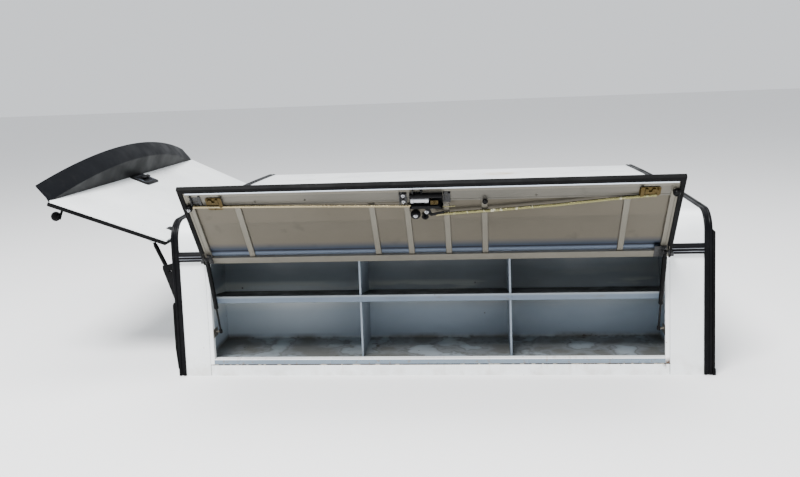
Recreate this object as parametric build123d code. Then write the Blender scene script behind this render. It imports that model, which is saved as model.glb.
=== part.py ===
"""Pickup truck canopy: an aluminium cap with a toolbox along each side.

Millimetres. +X runs forward along the truck, +Y to the far side, +Z up.
The origin is the middle of the front rail's underside, where the cap rests on the bed.
The near toolbox door and the rear lift door are drawn open, as they stand at rest.
"""
import os
from math import atan2, cos, degrees, hypot, radians, sin

from build123d import *

# Shell
LENGTH = 2050.0
WIDTH = 1760.0
SHOULDER_HEIGHT = 618.0
ROOF_CROWN = 10.0
SHOULDER_RADIUS = 0.12945 * SHOULDER_HEIGHT
SHEET = 3.0
RAIL_WIDTH = 60.0
RAIL_HEIGHT = 44.0

# Belt rail: three ribs with two grooves between them, over the seam of the side wall
BELT_BOTTOM = 0.74757 * SHOULDER_HEIGHT
BELT_HEIGHT = 38.0
SEAM_ABOVE_BELT_FOOT = 8.0
PANEL_TOP = BELT_BOTTOM + SEAM_ABOVE_BELT_FOOT
BELT_DEPTH = 12.0
BELT_GROOVE = 5.0

# Edge trims, seals and feet at the two ends
TRIM_WIDTH = 30.0
TRIM_DEPTH = 6.0
FRONT_SEAL_DEPTH = 10.0
FRONT_SEAL_WIDTH = 20.0
FRONT_SEAL_TOP = 0.8916 * SHOULDER_HEIGHT
FOOT_HEIGHT = 30.0
FOOT_MARGIN = 2.0
REAR_SEAL_DEPTH = 8.0
REAR_SEAL_BOTTOM = 30.0
REAR_SEAL_TOP = 0.4854 * SHOULDER_HEIGHT

# Rear frame
POST_WIDTH = 60.0
POST_DEPTH = 35.0
HEADER_HEIGHT = 40.0

# Toolbox opening in the side wall
OPENING_REAR_MARGIN = 147.0
OPENING_FRONT_MARGIN = 166.0
SILL_HEIGHT = 66.0
OPENING_UNDER_BELT = 7.0
OPENING_TOP = BELT_BOTTOM - OPENING_UNDER_BELT
SILL_LIP = 30.0
JAMB_DEPTH = 24.0
HEADER_RAIL_DEPTH = 30.0

# Toolbox inside
BOX_DEPTH = 350.0
BOX_CEILING = 0.79288 * SHOULDER_HEIGHT
BOX_FLOOR = RAIL_HEIGHT + SHEET
BOX_END_INSET = 48.0
SHELF_TOP = 0.4919 * SHOULDER_HEIGHT
SHELF_SETBACK = 61.0
SHELF_LIP = 27.0
SHELF_FALL = 48.0
DIVIDER_SETBACK = 66.0
DIVIDER_FLANGE = 12.0
DIVIDER_PLACES = (0.3546 * LENGTH, 0.639 * LENGTH)

# Toolbox door
BOX_DOOR_OPEN_ANGLE = 141.0
BOX_DOOR_OVERLAP = 8.0
BOX_DOOR_SILL_OVERLAP = 24.0
BOX_HINGE_ABOVE_BELT_FOOT = 2.0
BOX_HINGE_HEIGHT = BELT_BOTTOM + BOX_HINGE_ABOVE_BELT_FOOT
BOX_HINGE_OFFSET = 22.0
HINGE_PIN_RADIUS = 3.0
HINGE_TUBE_RADIUS = 6.0
PIN_CLEARANCE = 0.05
LUG_WIDTH = 12.0
LUG_GAP = 2.0
DOOR_GAP = 5.0
BOX_FRAME_DEPTH = 12.0
BOX_FRAME_WIDTH = 36.0
BOX_SEAL_THICKNESS = 7.0
BOX_BULB_WIDTH = 20.0
BOX_BULB_GAP = 1.0
BOX_RIB_WIDTH = 24.0
BOX_RIB_SHARES = (0.111, 0.39, 0.462, 0.542, 0.619, 0.899)
LATCH_RAIL_FROM_EDGE = 61.0
LATCH_RAIL_WIDTH = 30.0
LATCH_RAIL_DEPTH = BOX_FRAME_DEPTH
ROD_RADIUS = 3.5
END_LATCH_LENGTH = 76.0
END_LATCH_WIDTH = 30.0
END_LATCH_THICKNESS = 6.0
END_LATCH_INSET = 70.0
LOCK_SHARE = 0.495
LOCK_LENGTH = 115.0
LOCK_WIDTH = 42.0
LOCK_HEIGHT = 28.0

# Rear lift door
REAR_DOOR_OPEN_ANGLE = 112.75
REAR_HINGE_HEIGHT = 0.88188 * SHOULDER_HEIGHT
REAR_HINGE_OFFSET = 50.0
REAR_DOOR_ABOVE_HINGE = 5.0
REAR_DOOR_TOP = REAR_HINGE_HEIGHT + REAR_DOOR_ABOVE_HINGE
REAR_DOOR_BOTTOM = 75.0
REAR_DOOR_TAPER = 180.048
REAR_DOOR_TOP_WIDTH = WIDTH - REAR_DOOR_TAPER
REAR_DOOR_BOTTOM_WIDTH = WIDTH
REAR_DOOR_GAP = 20.0
REAR_DOOR_THICKNESS = 20.0
REAR_FRAME_WIDTH = 40.0
REAR_SEAL_THICKNESS = 6.0
REAR_SEAL_WIDTH = 14.0
SKIRT_BOW = 104.0
SKIRT_DROP = 71.0
SKIRT_FLARE = 42.0
SKIRT_THICKNESS = 4.0
STRAP_WIDTH = 50.0
STRAP_LEAF = 60.0
STRAP_FROM_CORNER = 170.0
HANDLE_BASE_LENGTH = 150.0
HANDLE_BASE_WIDTH = 100.0
HANDLE_BASE_THICKNESS = 8.0
HANDLE_ABOVE_BOTTOM = 55.0
HANDLE_LENGTH = 96.0
HANDLE_WIDTH = 18.0
HANDLE_THICKNESS = 9.0
HANDLE_SPINDLE_RADIUS = 8.0
HANDLE_GAP = 6.0
BUMPER_RADIUS = 20.0
BUMPER_STEM = 5.0
BUMPER_REACH = 60.0
BUMPER_UP = 27.0
BUMPER_DROP = 17.0
BUMPER_FROM_SIDE = 90.0

# Gas struts
STUD_RADIUS = 4.0
SOCKET_RADIUS = 8.0
SOCKET_WIDTH = 10.0
STRUT_ROD_RADIUS = 4.0
STRUT_TUBE_RADIUS = 9.0
STRUT_BORE_WALL = 12.0
ROD_ENGAGEMENT = 60.0
SOCKET_GAP = 1.0
EAR_GAP = 2.0
BOX_STRUT_INSET = 20.0
BOX_STRUT_LOW_HEIGHT = 0.362 * BOX_HINGE_HEIGHT
BOX_STRUT_LOW_DEPTH = 40.0
BOX_STRUT_TUBE = 228.0
BOX_STRUT_ARM = 55.0
BOX_STRUT_LIFT = 34.0
REAR_STRUT_INSET = 130.0
REAR_STRUT_LOW_HEIGHT = 0.2752 * REAR_HINGE_HEIGHT
REAR_STRUT_LOW_DEPTH = 45.0
REAR_STRUT_TUBE = 300.0
REAR_STRUT_ARM = 60.0
REAR_STRUT_LIFT = 45.0
GUSSET_THICKNESS = 5.0
GUSSET_REACH = 42.0
GUSSET_CLEARANCE = 6.0
GUSSET_TOP = BELT_BOTTOM - GUSSET_CLEARANCE
GUSSET_BOTTOM = REAR_SEAL_TOP + GUSSET_CLEARANCE
GUSSET_HOLE_RADIUS = 7.0
GUSSET_HOLE_IN = 14.0
GUSSET_HOLE_DOWN = 32.0

# Places worked out from the sizes above
X_FRONT = RAIL_WIDTH / 2
X_REAR = X_FRONT - LENGTH
Y_WALL = WIDTH / 2
OPENING_X0 = X_REAR + OPENING_REAR_MARGIN
OPENING_X1 = X_FRONT - OPENING_FRONT_MARGIN
BOX_X0 = OPENING_X0 - BOX_END_INSET
BOX_X1 = OPENING_X1 + BOX_END_INSET
BOX_BACK = Y_WALL - BOX_DEPTH
BELT_TOP = BELT_BOTTOM + BELT_HEIGHT
STRAP_Y = REAR_DOOR_TOP_WIDTH / 2 - STRAP_FROM_CORNER
STRAP_PLACES = (-STRAP_Y, 0.0, STRAP_Y)


def slab(x0, x1, y0, y1, z0, z1):
    """A box between two corners."""
    middle = Vector((x0 + x1) / 2, (y0 + y1) / 2, (z0 + z1) / 2)
    return Pos(middle) * Box(abs(x1 - x0), abs(y1 - y0), abs(z1 - z0))


def along_x(points, x0, x1):
    """A straight bar along X whose (y, z) section is the closed outline through points."""
    section = make_face(Polyline(*points, close=True))
    return extrude(Plane.YZ.offset(x0) * section, amount=x1 - x0)


def along_y(points, y0, y1):
    """A straight plate along Y whose (x, z) section is the closed outline through points."""
    section = make_face(Polyline(*points, close=True))
    return extrude(Plane.XZ.offset(-y0) * section, amount=y0 - y1)


def rod_x(radius, x0, x1, y, z):
    """A round bar along X."""
    return Pos((x0 + x1) / 2, y, z) * Rot(0, 90, 0) * Cylinder(radius, abs(x1 - x0))


def rod_y(radius, y0, y1, x, z):
    """A round bar along Y."""
    return Pos(x, (y0 + y1) / 2, z) * Rot(90, 0, 0) * Cylinder(radius, abs(y1 - y0))


def flip(solid):
    """The same piece on the other side of the truck's middle."""
    return mirror(solid, about=Plane.XZ)


def both_sides(solid):
    """A near piece and its mirrored twin as two solids of one node."""
    return Compound(children=[*solid.solids(), *flip(solid).solids()])


def group(pieces):
    """Separate solids that share one node."""
    return Compound(children=[solid for piece in pieces for solid in piece.solids()])


def shell_face(outset, foot):
    """The shell's whole cross-section, outset from its outer surface, down to foot."""
    half = Y_WALL + outset
    radius = SHOULDER_RADIUS + outset
    shoulder = SHOULDER_HEIGHT + outset
    flat = half - radius
    bend = shoulder - radius
    turn = radius * sin(radians(45))
    edge = (
        Line((-half, foot), (-half, bend))
        + ThreePointArc((-half, bend), (-flat - turn, bend + turn), (-flat, shoulder))
        + ThreePointArc((-flat, shoulder), (0, shoulder + ROOF_CROWN), (flat, shoulder))
        + ThreePointArc((flat, shoulder), (flat + turn, bend + turn), (half, bend))
        + Line((half, bend), (half, foot))
        + Line((half, foot), (-half, foot))
    )
    return make_face(edge)


def shell_band(outset, inset, foot, x0, x1):
    """A hoop of the shell's cross-section between two offsets of its surface."""
    outer = extrude(Plane.YZ.offset(x0) * shell_face(outset, foot), amount=x1 - x0)
    inner = extrude(Plane.YZ.offset(x0) * shell_face(-inset, foot), amount=x1 - x0)
    return outer - inner


# The shell's bottom rails: box sections that sit on the truck's bed
def side_rail():
    return slab(X_REAR + POST_DEPTH, X_FRONT - SHEET, -Y_WALL + SHEET, -Y_WALL + RAIL_WIDTH, 0, RAIL_HEIGHT)


def front_rail():
    reach = Y_WALL - RAIL_WIDTH
    return slab(X_FRONT - RAIL_WIDTH, X_FRONT - SHEET, -reach, reach, 0, RAIL_HEIGHT)


# The lower side wall: two strips beside the toolbox opening and the sill under it
def side_strip(x_end, x_opening):
    inward = 1 if x_end > x_opening else -1
    face = slab(x_end, x_opening, -Y_WALL, -Y_WALL + SHEET, 0, PANEL_TOP)
    jamb = slab(x_opening, x_opening + inward * SHEET, -Y_WALL, -Y_WALL + JAMB_DEPTH,
                SILL_HEIGHT - SHEET, OPENING_TOP)
    return face + jamb


def sill():
    face = slab(OPENING_X0, OPENING_X1, -Y_WALL, -Y_WALL + SHEET, 0, SILL_HEIGHT)
    lip = slab(OPENING_X0, OPENING_X1, -Y_WALL, -Y_WALL + SILL_LIP, SILL_HEIGHT - SHEET, SILL_HEIGHT)
    back = slab(OPENING_X0, OPENING_X1, -Y_WALL + SILL_LIP - SHEET, -Y_WALL + SILL_LIP,
                BOX_FLOOR, SILL_HEIGHT)
    return face + lip + back


def header_rail():
    """The box section over the toolbox opening, which carries the door's hinge."""
    return slab(OPENING_X0, OPENING_X1, -Y_WALL, -Y_WALL + HEADER_RAIL_DEPTH, OPENING_TOP, PANEL_TOP)


def belt_rail(notched):
    out = -Y_WALL - BELT_DEPTH
    groove = BELT_HEIGHT / 7
    points = [(-Y_WALL, BELT_BOTTOM), (out, BELT_BOTTOM)]
    for level in (2, 4):
        low = BELT_BOTTOM + level * groove
        points += [(out, low), (out + BELT_GROOVE, low)]
        points += [(out + BELT_GROOVE, low + groove), (out, low + groove)]
    points += [(out, BELT_TOP), (-Y_WALL, BELT_TOP)]
    rail = along_x(points, X_REAR + TRIM_WIDTH, X_FRONT - TRIM_WIDTH)
    if notched:
        reach = BOX_DOOR_OVERLAP + LUG_GAP + LUG_WIDTH
        rail -= slab(OPENING_X0 - reach, OPENING_X1 + reach, out - 1, -Y_WALL,
                     BELT_BOTTOM - 1, BOX_HINGE_HEIGHT + HINGE_TUBE_RADIUS + DOOR_GAP)
    return rail


def upper_skin(part_name):
    """The bent skin above the belt, cut into two sides and the roof between them."""
    band = shell_band(0, SHEET, PANEL_TOP, X_REAR, X_FRONT - SHEET)
    flat = Y_WALL - SHOULDER_RADIUS
    top = SHOULDER_HEIGHT + ROOF_CROWN + SHEET
    spans = {
        "near": (-Y_WALL, -flat),
        "roof": (-flat, flat),
        "far": (flat, Y_WALL),
    }
    y0, y1 = spans[part_name]
    return band & slab(X_REAR - 1, X_FRONT + 1, y0, y1, PANEL_TOP, top)


def front_wall():
    return extrude(Plane.YZ.offset(X_FRONT - SHEET) * shell_face(-SHEET, 0), amount=SHEET)


def edge_trim(x0):
    """The black extrusion that wraps the shell's raw edge at one end."""
    return shell_band(TRIM_DEPTH, 0, FOOT_MARGIN, x0, x0 + TRIM_WIDTH)


def front_seal():
    return along_y([(X_FRONT, FOOT_HEIGHT), (X_FRONT + FRONT_SEAL_DEPTH, FOOT_HEIGHT),
                    (X_FRONT + FRONT_SEAL_DEPTH, FRONT_SEAL_TOP - FRONT_SEAL_DEPTH),
                    (X_FRONT, FRONT_SEAL_TOP)],
                   -Y_WALL - TRIM_DEPTH, -Y_WALL - TRIM_DEPTH + FRONT_SEAL_WIDTH)


def front_foot():
    margin = FOOT_MARGIN
    return slab(X_FRONT, X_FRONT + FRONT_SEAL_DEPTH + margin, -Y_WALL - TRIM_DEPTH - margin,
                -Y_WALL - TRIM_DEPTH + FRONT_SEAL_WIDTH, 0, FOOT_HEIGHT)


def rear_seal():
    return along_y([(X_REAR, REAR_SEAL_BOTTOM), (X_REAR, REAR_SEAL_TOP),
                    (X_REAR - REAR_SEAL_DEPTH, REAR_SEAL_TOP - REAR_SEAL_DEPTH),
                    (X_REAR - REAR_SEAL_DEPTH, REAR_SEAL_BOTTOM + 10 * REAR_SEAL_DEPTH)],
                   -Y_WALL - TRIM_DEPTH, -Y_WALL + TRIM_DEPTH)


# The frame round the rear doorway
def rear_post():
    skin = SHOULDER_HEIGHT - SHOULDER_RADIUS
    return slab(X_REAR, X_REAR + POST_DEPTH, -Y_WALL + SHEET, -Y_WALL + POST_WIDTH, 0, skin)


def rear_header():
    reach = Y_WALL - SHOULDER_RADIUS
    top = SHOULDER_HEIGHT - SHEET
    return slab(X_REAR, X_REAR + POST_DEPTH, -reach, reach, top - HEADER_HEIGHT, top)


def rear_corner():
    """The plate that ties a rear post to the header behind the rounded shoulder."""
    skin = SHOULDER_HEIGHT - SHOULDER_RADIUS
    plate = extrude(Plane.YZ.offset(X_REAR) * shell_face(-SHEET, 0), amount=SHEET)
    return plate & slab(X_REAR - 1, X_REAR + POST_DEPTH, -Y_WALL, -Y_WALL + SHOULDER_RADIUS,
                        skin, SHOULDER_HEIGHT)


# Toolbox
def box_floor():
    return slab(BOX_X0, BOX_X1, -Y_WALL + SHEET, -BOX_BACK, BOX_FLOOR - SHEET, BOX_FLOOR)


def box_back():
    return slab(BOX_X0, BOX_X1, -BOX_BACK, -BOX_BACK + SHEET, BOX_FLOOR - SHEET, BOX_CEILING + SHEET)


def box_end(x0):
    return slab(x0, x0 + SHEET, -Y_WALL + SHEET, -BOX_BACK, BOX_FLOOR, BOX_CEILING)


def box_ceiling():
    return slab(BOX_X0, BOX_X1, -Y_WALL + SHEET, -BOX_BACK, BOX_CEILING, BOX_CEILING + SHEET)


SHELF_FRONT = -Y_WALL + SHELF_SETBACK


def shelf_level(y):
    """The height of the shelf's upper face, which falls towards the back."""
    return SHELF_TOP - SHELF_FALL * (y - SHELF_FRONT) / (-BOX_BACK - SHELF_FRONT)


def shelf():
    sheet = along_x([(SHELF_FRONT, SHELF_TOP), (-BOX_BACK, shelf_level(-BOX_BACK)),
                     (-BOX_BACK, shelf_level(-BOX_BACK) - SHEET), (SHELF_FRONT, SHELF_TOP - SHEET)],
                    BOX_X0 + SHEET, BOX_X1 - SHEET)
    lip = slab(BOX_X0 + SHEET, BOX_X1 - SHEET, SHELF_FRONT, SHELF_FRONT + SHEET,
               SHELF_TOP - SHELF_LIP, shelf_level(SHELF_FRONT + SHEET))
    return sheet + lip


def divider(x):
    """A flanged sheet above the shelf and another under it."""
    front = -Y_WALL + DIVIDER_SETBACK
    pieces = []
    for above in (False, True):
        sheets = []
        for back, width in ((-BOX_BACK, SHEET), (front + SHEET, DIVIDER_FLANGE)):
            slope = [(back, shelf_level(back)), (front, shelf_level(front))]
            if above:
                edge = [(front, BOX_CEILING), (back, BOX_CEILING)] + slope
            else:
                edge = [(front, BOX_FLOOR), (back, BOX_FLOOR)] + [(y, z - SHEET) for y, z in slope]
            sheets.append(along_x(edge, x, x + width))
        pieces.append(sheets[0] + sheets[1])
    return group(pieces)


# Toolbox door, drawn shut against the wall and then swung up
DOOR_X0 = OPENING_X0 - BOX_DOOR_OVERLAP
DOOR_X1 = OPENING_X1 + BOX_DOOR_OVERLAP
BOX_HINGE_Y = -Y_WALL - BOX_HINGE_OFFSET
DOOR_INNER = -Y_WALL - DOOR_GAP
FRAME_OUTER = DOOR_INNER - BOX_FRAME_DEPTH
DOOR_OUTER = FRAME_OUTER - SHEET
DOOR_TOP = BOX_HINGE_HEIGHT - HINGE_TUBE_RADIUS
DOOR_BOTTOM = SILL_HEIGHT - BOX_DOOR_SILL_OVERLAP
SKIN_X0 = DOOR_X0 + BOX_SEAL_THICKNESS
SKIN_X1 = DOOR_X1 - BOX_SEAL_THICKNESS
SKIN_BOTTOM = DOOR_BOTTOM + BOX_SEAL_THICKNESS
BOX_HINGE = Axis((0, BOX_HINGE_Y, BOX_HINGE_HEIGHT), (1, 0, 0))


def raise_box_door(solid):
    return solid.rotate(BOX_HINGE, -BOX_DOOR_OPEN_ANGLE)


def box_hinge_tube():
    tube = rod_x(HINGE_TUBE_RADIUS, DOOR_X0, DOOR_X1, BOX_HINGE_Y, BOX_HINGE_HEIGHT)
    leaf = slab(SKIN_X0, SKIN_X1, BOX_HINGE_Y, DOOR_OUTER,
                BOX_HINGE_HEIGHT - 3 * HINGE_TUBE_RADIUS, BOX_HINGE_HEIGHT)
    return tube + leaf - rod_x(HINGE_PIN_RADIUS + PIN_CLEARANCE, DOOR_X0 - 1, DOOR_X1 + 1,
                               BOX_HINGE_Y, BOX_HINGE_HEIGHT)


def box_hinge_pin():
    """The hinge wire, held at both ends in lugs on the wall."""
    reach = LUG_GAP + LUG_WIDTH
    pin = rod_x(HINGE_PIN_RADIUS, DOOR_X0 - reach, DOOR_X1 + reach, BOX_HINGE_Y, BOX_HINGE_HEIGHT)
    for x0 in (DOOR_X0 - reach, DOOR_X1 + LUG_GAP):
        pin += slab(x0, x0 + LUG_WIDTH, BOX_HINGE_Y - HINGE_TUBE_RADIUS, -Y_WALL,
                    BOX_HINGE_HEIGHT - HINGE_TUBE_RADIUS, BOX_HINGE_HEIGHT + HINGE_TUBE_RADIUS)
    return pin


def box_door_skin():
    return slab(SKIN_X0, SKIN_X1, DOOR_OUTER, FRAME_OUTER, SKIN_BOTTOM, DOOR_TOP)


def box_door_frame():
    outer = slab(SKIN_X0, SKIN_X1, FRAME_OUTER, DOOR_INNER, SKIN_BOTTOM, DOOR_TOP)
    wide = BOX_FRAME_WIDTH
    return outer - slab(SKIN_X0 + wide, SKIN_X1 - wide, FRAME_OUTER, DOOR_INNER,
                        SKIN_BOTTOM + wide, DOOR_TOP - wide)


def box_door_ribs():
    ribs = []
    for share in BOX_RIB_SHARES:
        x0 = OPENING_X0 + share * (OPENING_X1 - OPENING_X0) - BOX_RIB_WIDTH / 2
        ribs.append(slab(x0, x0 + BOX_RIB_WIDTH, FRAME_OUTER, DOOR_INNER - DOOR_GAP,
                         DOOR_BOTTOM + LATCH_RAIL_FROM_EDGE + LATCH_RAIL_WIDTH, DOOR_TOP - BOX_FRAME_WIDTH))
    return group(ribs)


def box_door_edging():
    """The rubber that wraps the door's three free edges."""
    outer = slab(DOOR_X0, DOOR_X1, DOOR_OUTER - 1, DOOR_INNER, DOOR_BOTTOM, DOOR_TOP)
    return outer - slab(SKIN_X0, SKIN_X1, DOOR_OUTER - 1, DOOR_INNER, SKIN_BOTTOM, DOOR_TOP)


def box_door_seal():
    """The edging with its bulb on the frame's inside, narrower beside the strut ears."""
    wide = BOX_BULB_WIDTH
    face = -Y_WALL - BOX_BULB_GAP
    bulb = slab(DOOR_X0, DOOR_X1, DOOR_INNER, face, DOOR_BOTTOM, DOOR_TOP)
    bulb -= slab(DOOR_X0 + wide, DOOR_X1 - wide, DOOR_INNER, face, DOOR_BOTTOM + wide, DOOR_TOP)
    ear_foot = BOX_HINGE_HEIGHT - BOX_STRUT_ARM - SOCKET_RADIUS - EAR_GAP
    beside_ear = BOX_SEAL_THICKNESS + EAR_GAP
    bulb -= slab(DOOR_X0 + beside_ear, DOOR_X1 - beside_ear, DOOR_INNER, face, ear_foot, DOOR_TOP)
    return box_door_edging() + bulb


def latch_rail():
    z0 = DOOR_BOTTOM + LATCH_RAIL_FROM_EDGE
    return slab(SKIN_X0 + BOX_FRAME_WIDTH, SKIN_X1 - BOX_FRAME_WIDTH, FRAME_OUTER,
                FRAME_OUTER + LATCH_RAIL_DEPTH, z0, z0 + LATCH_RAIL_WIDTH)


LATCH_X0 = SKIN_X0 + END_LATCH_INSET
LATCH_X1 = SKIN_X1 - END_LATCH_INSET
LATCH_Z = DOOR_BOTTOM + LATCH_RAIL_FROM_EDGE + LATCH_RAIL_WIDTH / 2
LATCH_Y = FRAME_OUTER + LATCH_RAIL_DEPTH
LOCK_X0 = OPENING_X0 + LOCK_SHARE * (OPENING_X1 - OPENING_X0) - LOCK_LENGTH / 2
LOCK_X1 = LOCK_X0 + LOCK_LENGTH
ROD_Y = LATCH_Y + ROD_RADIUS


def end_latch(x0):
    return slab(x0, x0 + END_LATCH_LENGTH, LATCH_Y, LATCH_Y + END_LATCH_THICKNESS,
                LATCH_Z - END_LATCH_WIDTH / 2, LATCH_Z + END_LATCH_WIDTH / 2)


def latch_rod(x0, x1):
    return rod_x(ROD_RADIUS, x0, x1, ROD_Y, LATCH_Z)


def central_lock():
    half = LOCK_WIDTH / 2
    return slab(LOCK_X0, LOCK_X1, LATCH_Y, LATCH_Y + LOCK_HEIGHT, LATCH_Z - half, LATCH_Z + half)


# Rear lift door, drawn shut and then swung up
REAR_INNER = X_REAR - REAR_DOOR_GAP
REAR_OUTER = REAR_INNER - REAR_DOOR_THICKNESS
REAR_SKIN = REAR_OUTER + SHEET
REAR_HINGE_X = X_REAR - REAR_HINGE_OFFSET
REAR_HINGE = Axis((REAR_HINGE_X, 0, REAR_HINGE_HEIGHT), (0, 1, 0))


def raise_rear_door(solid):
    return solid.rotate(REAR_HINGE, REAR_DOOR_OPEN_ANGLE)


def rear_outline(inset):
    """The door's outline as (y, z) points: wider at the bottom than at the top."""
    low = REAR_DOOR_BOTTOM_WIDTH / 2 - inset
    high = REAR_DOOR_TOP_WIDTH / 2 - inset
    z0 = REAR_DOOR_BOTTOM + inset
    z1 = REAR_DOOR_TOP - inset
    return [(-low, z0), (low, z0), (high, z1), (-high, z1)]


def rear_ring(inset, width, x0, x1):
    return along_x(rear_outline(inset), x0, x1) - along_x(rear_outline(inset + width), x0, x1)


def rear_door_panel():
    return along_x(rear_outline(0), REAR_OUTER, REAR_SKIN)


def rear_door_frame():
    return rear_ring(0, REAR_FRAME_WIDTH, REAR_SKIN, REAR_INNER)


def rear_door_seal():
    return rear_ring(TRIM_DEPTH, REAR_SEAL_WIDTH, REAR_INNER, REAR_INNER + REAR_SEAL_THICKNESS)


def bowed_strip(z, out, bow, thickness):
    """A thin strip that bows rearwards, as a face at height z."""
    half = REAR_DOOR_BOTTOM_WIDTH / 2
    x_out = REAR_OUTER - out
    x_in = x_out + thickness
    edge = (
        ThreePointArc((x_out, -half, z), (x_out - bow, 0, z), (x_out, half, z))
        + Line((x_out, half, z), (x_in, half, z))
        + ThreePointArc((x_in, half, z), (x_in - bow, 0, z), (x_in, -half, z))
        + Line((x_in, -half, z), (x_out, -half, z))
    )
    return make_face(edge)


def rear_door_skirt():
    """The moulded skirt: a bowed shelf along the door's lower edge, and a flared rim under it."""
    half = REAR_DOOR_BOTTOM_WIDTH / 2
    z0 = REAR_DOOR_BOTTOM
    chord = REAR_OUTER
    shelf_edge = (
        ThreePointArc((chord, -half, z0), (chord - SKIRT_BOW, 0, z0), (chord, half, z0))
        + Line((chord, half, z0), (chord, -half, z0))
    )
    ledge = extrude(make_face(shelf_edge), amount=SKIRT_THICKNESS, dir=(0, 0, 1))
    rim = loft([
        bowed_strip(z0, -SKIRT_THICKNESS, SKIRT_BOW, SKIRT_THICKNESS),
        bowed_strip(z0 - SKIRT_DROP, SKIRT_FLARE - SKIRT_THICKNESS, SKIRT_BOW, SKIRT_THICKNESS),
    ], ruled=True)
    return ledge + rim


def rear_door_hinges():
    """Strap hinges: a leaf on the door's outside and a knuckle tube round the pin."""
    straps = []
    for y in STRAP_PLACES:
        y0 = y - STRAP_WIDTH / 2
        leaf = slab(REAR_OUTER - SHEET, REAR_OUTER, y0, y0 + STRAP_WIDTH,
                    REAR_DOOR_TOP - STRAP_LEAF, REAR_DOOR_TOP)
        arm = slab(REAR_HINGE_X, REAR_OUTER, y0, y0 + STRAP_WIDTH,
                   REAR_HINGE_HEIGHT - SHEET, REAR_HINGE_HEIGHT + SHEET)
        tube = rod_y(HINGE_TUBE_RADIUS, y0, y0 + STRAP_WIDTH, REAR_HINGE_X, REAR_HINGE_HEIGHT)
        bore = rod_y(HINGE_PIN_RADIUS + PIN_CLEARANCE, y0 - 1, y0 + STRAP_WIDTH + 1,
                     REAR_HINGE_X, REAR_HINGE_HEIGHT)
        straps.append(leaf + arm + tube - bore)
    return straps


def rear_hinge_arms():
    """Fixed arms from the rear header that hold the hinge pins."""
    arms = []
    top = SHOULDER_HEIGHT - SHEET
    for y in STRAP_PLACES:
        y0 = y - STRAP_WIDTH / 2 - LUG_GAP - LUG_WIDTH
        y1 = y + STRAP_WIDTH / 2 + LUG_GAP + LUG_WIDTH
        pin = rod_y(HINGE_PIN_RADIUS, y0, y1, REAR_HINGE_X, REAR_HINGE_HEIGHT)
        for lug in (y0, y1 - LUG_WIDTH):
            tip = HINGE_TUBE_RADIUS
            pin += rod_y(tip, lug, lug + LUG_WIDTH, REAR_HINGE_X, REAR_HINGE_HEIGHT)
            pin += along_y([(X_REAR, top), (X_REAR, top - 2 * LUG_WIDTH),
                            (REAR_OUTER - EAR_GAP, REAR_HINGE_HEIGHT + 2 * tip),
                            (REAR_HINGE_X + tip, REAR_HINGE_HEIGHT), (REAR_HINGE_X - tip, REAR_HINGE_HEIGHT),
                            (REAR_HINGE_X - tip, REAR_HINGE_HEIGHT + 3 * tip),
                            (X_REAR - 2 * tip, top)], lug, lug + LUG_WIDTH)
        arms.append(pin)
    return arms


HANDLE_Z = REAR_DOOR_BOTTOM + HANDLE_ABOVE_BOTTOM
HANDLE_X = REAR_OUTER - HANDLE_BASE_THICKNESS


def handle_base():
    plate = slab(HANDLE_X, REAR_OUTER, -HANDLE_BASE_LENGTH / 2, HANDLE_BASE_LENGTH / 2,
                 HANDLE_Z - HANDLE_BASE_WIDTH / 2, HANDLE_Z + HANDLE_BASE_WIDTH / 2)
    bore = Pos(HANDLE_X, 0, HANDLE_Z) * Rot(0, 90, 0) * Cylinder(
        HANDLE_SPINDLE_RADIUS + PIN_CLEARANCE, 2 * HANDLE_BASE_THICKNESS)
    return plate - bore


def handle():
    """A T handle on a spindle that turns in the base."""
    reach = HANDLE_BASE_THICKNESS + HANDLE_GAP
    spindle = (Pos(REAR_OUTER - reach / 2, 0, HANDLE_Z) * Rot(0, 90, 0)
               * Cylinder(HANDLE_SPINDLE_RADIUS, reach))
    x1 = REAR_OUTER - reach
    grip = slab(x1 - HANDLE_THICKNESS, x1, -HANDLE_LENGTH / 2, HANDLE_LENGTH / 2,
                HANDLE_Z - HANDLE_WIDTH / 2, HANDLE_Z + HANDLE_WIDTH / 2)
    return spindle + grip


def rear_bumper(side):
    """A rubber knob hung under a stem at the door's lower corner, on its inside."""
    y = side * (REAR_DOOR_BOTTOM_WIDTH / 2 - BUMPER_FROM_SIDE)
    z = REAR_DOOR_BOTTOM + BUMPER_UP
    stem = Pos(REAR_INNER + BUMPER_REACH / 2, y, z) * Rot(0, 90, 0) * Cylinder(BUMPER_STEM, BUMPER_REACH)
    knob = Pos(REAR_INNER + BUMPER_REACH, y, z - BUMPER_DROP) * Sphere(BUMPER_RADIUS)
    return stem + knob


# Gas struts. Each lies in one plane: u runs across and v up, and a strut is drawn at rest.
def turned(point, centre, angle):
    """A (u, v) point turned anticlockwise about centre by angle in degrees."""
    du = point[0] - centre[0]
    dv = point[1] - centre[1]
    c = cos(radians(angle))
    s = sin(radians(angle))
    return (centre[0] + c * du - s * dv, centre[1] + s * du + c * dv)


def strut_line(low, high):
    length = hypot(high[0] - low[0], high[1] - low[1])
    lean = degrees(atan2(high[0] - low[0], high[1] - low[1]))
    return length, lean


def strut_rod(length, tube):
    """The thin rod with its socket, standing on the low pivot along +Z, pivots along X."""
    reach = length - tube + ROD_ENGAGEMENT
    shaft = Pos(0, 0, reach / 2) * Cylinder(STRUT_ROD_RADIUS, reach)
    socket = Rot(0, 90, 0) * Cylinder(SOCKET_RADIUS, SOCKET_WIDTH)
    return shaft + socket


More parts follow.
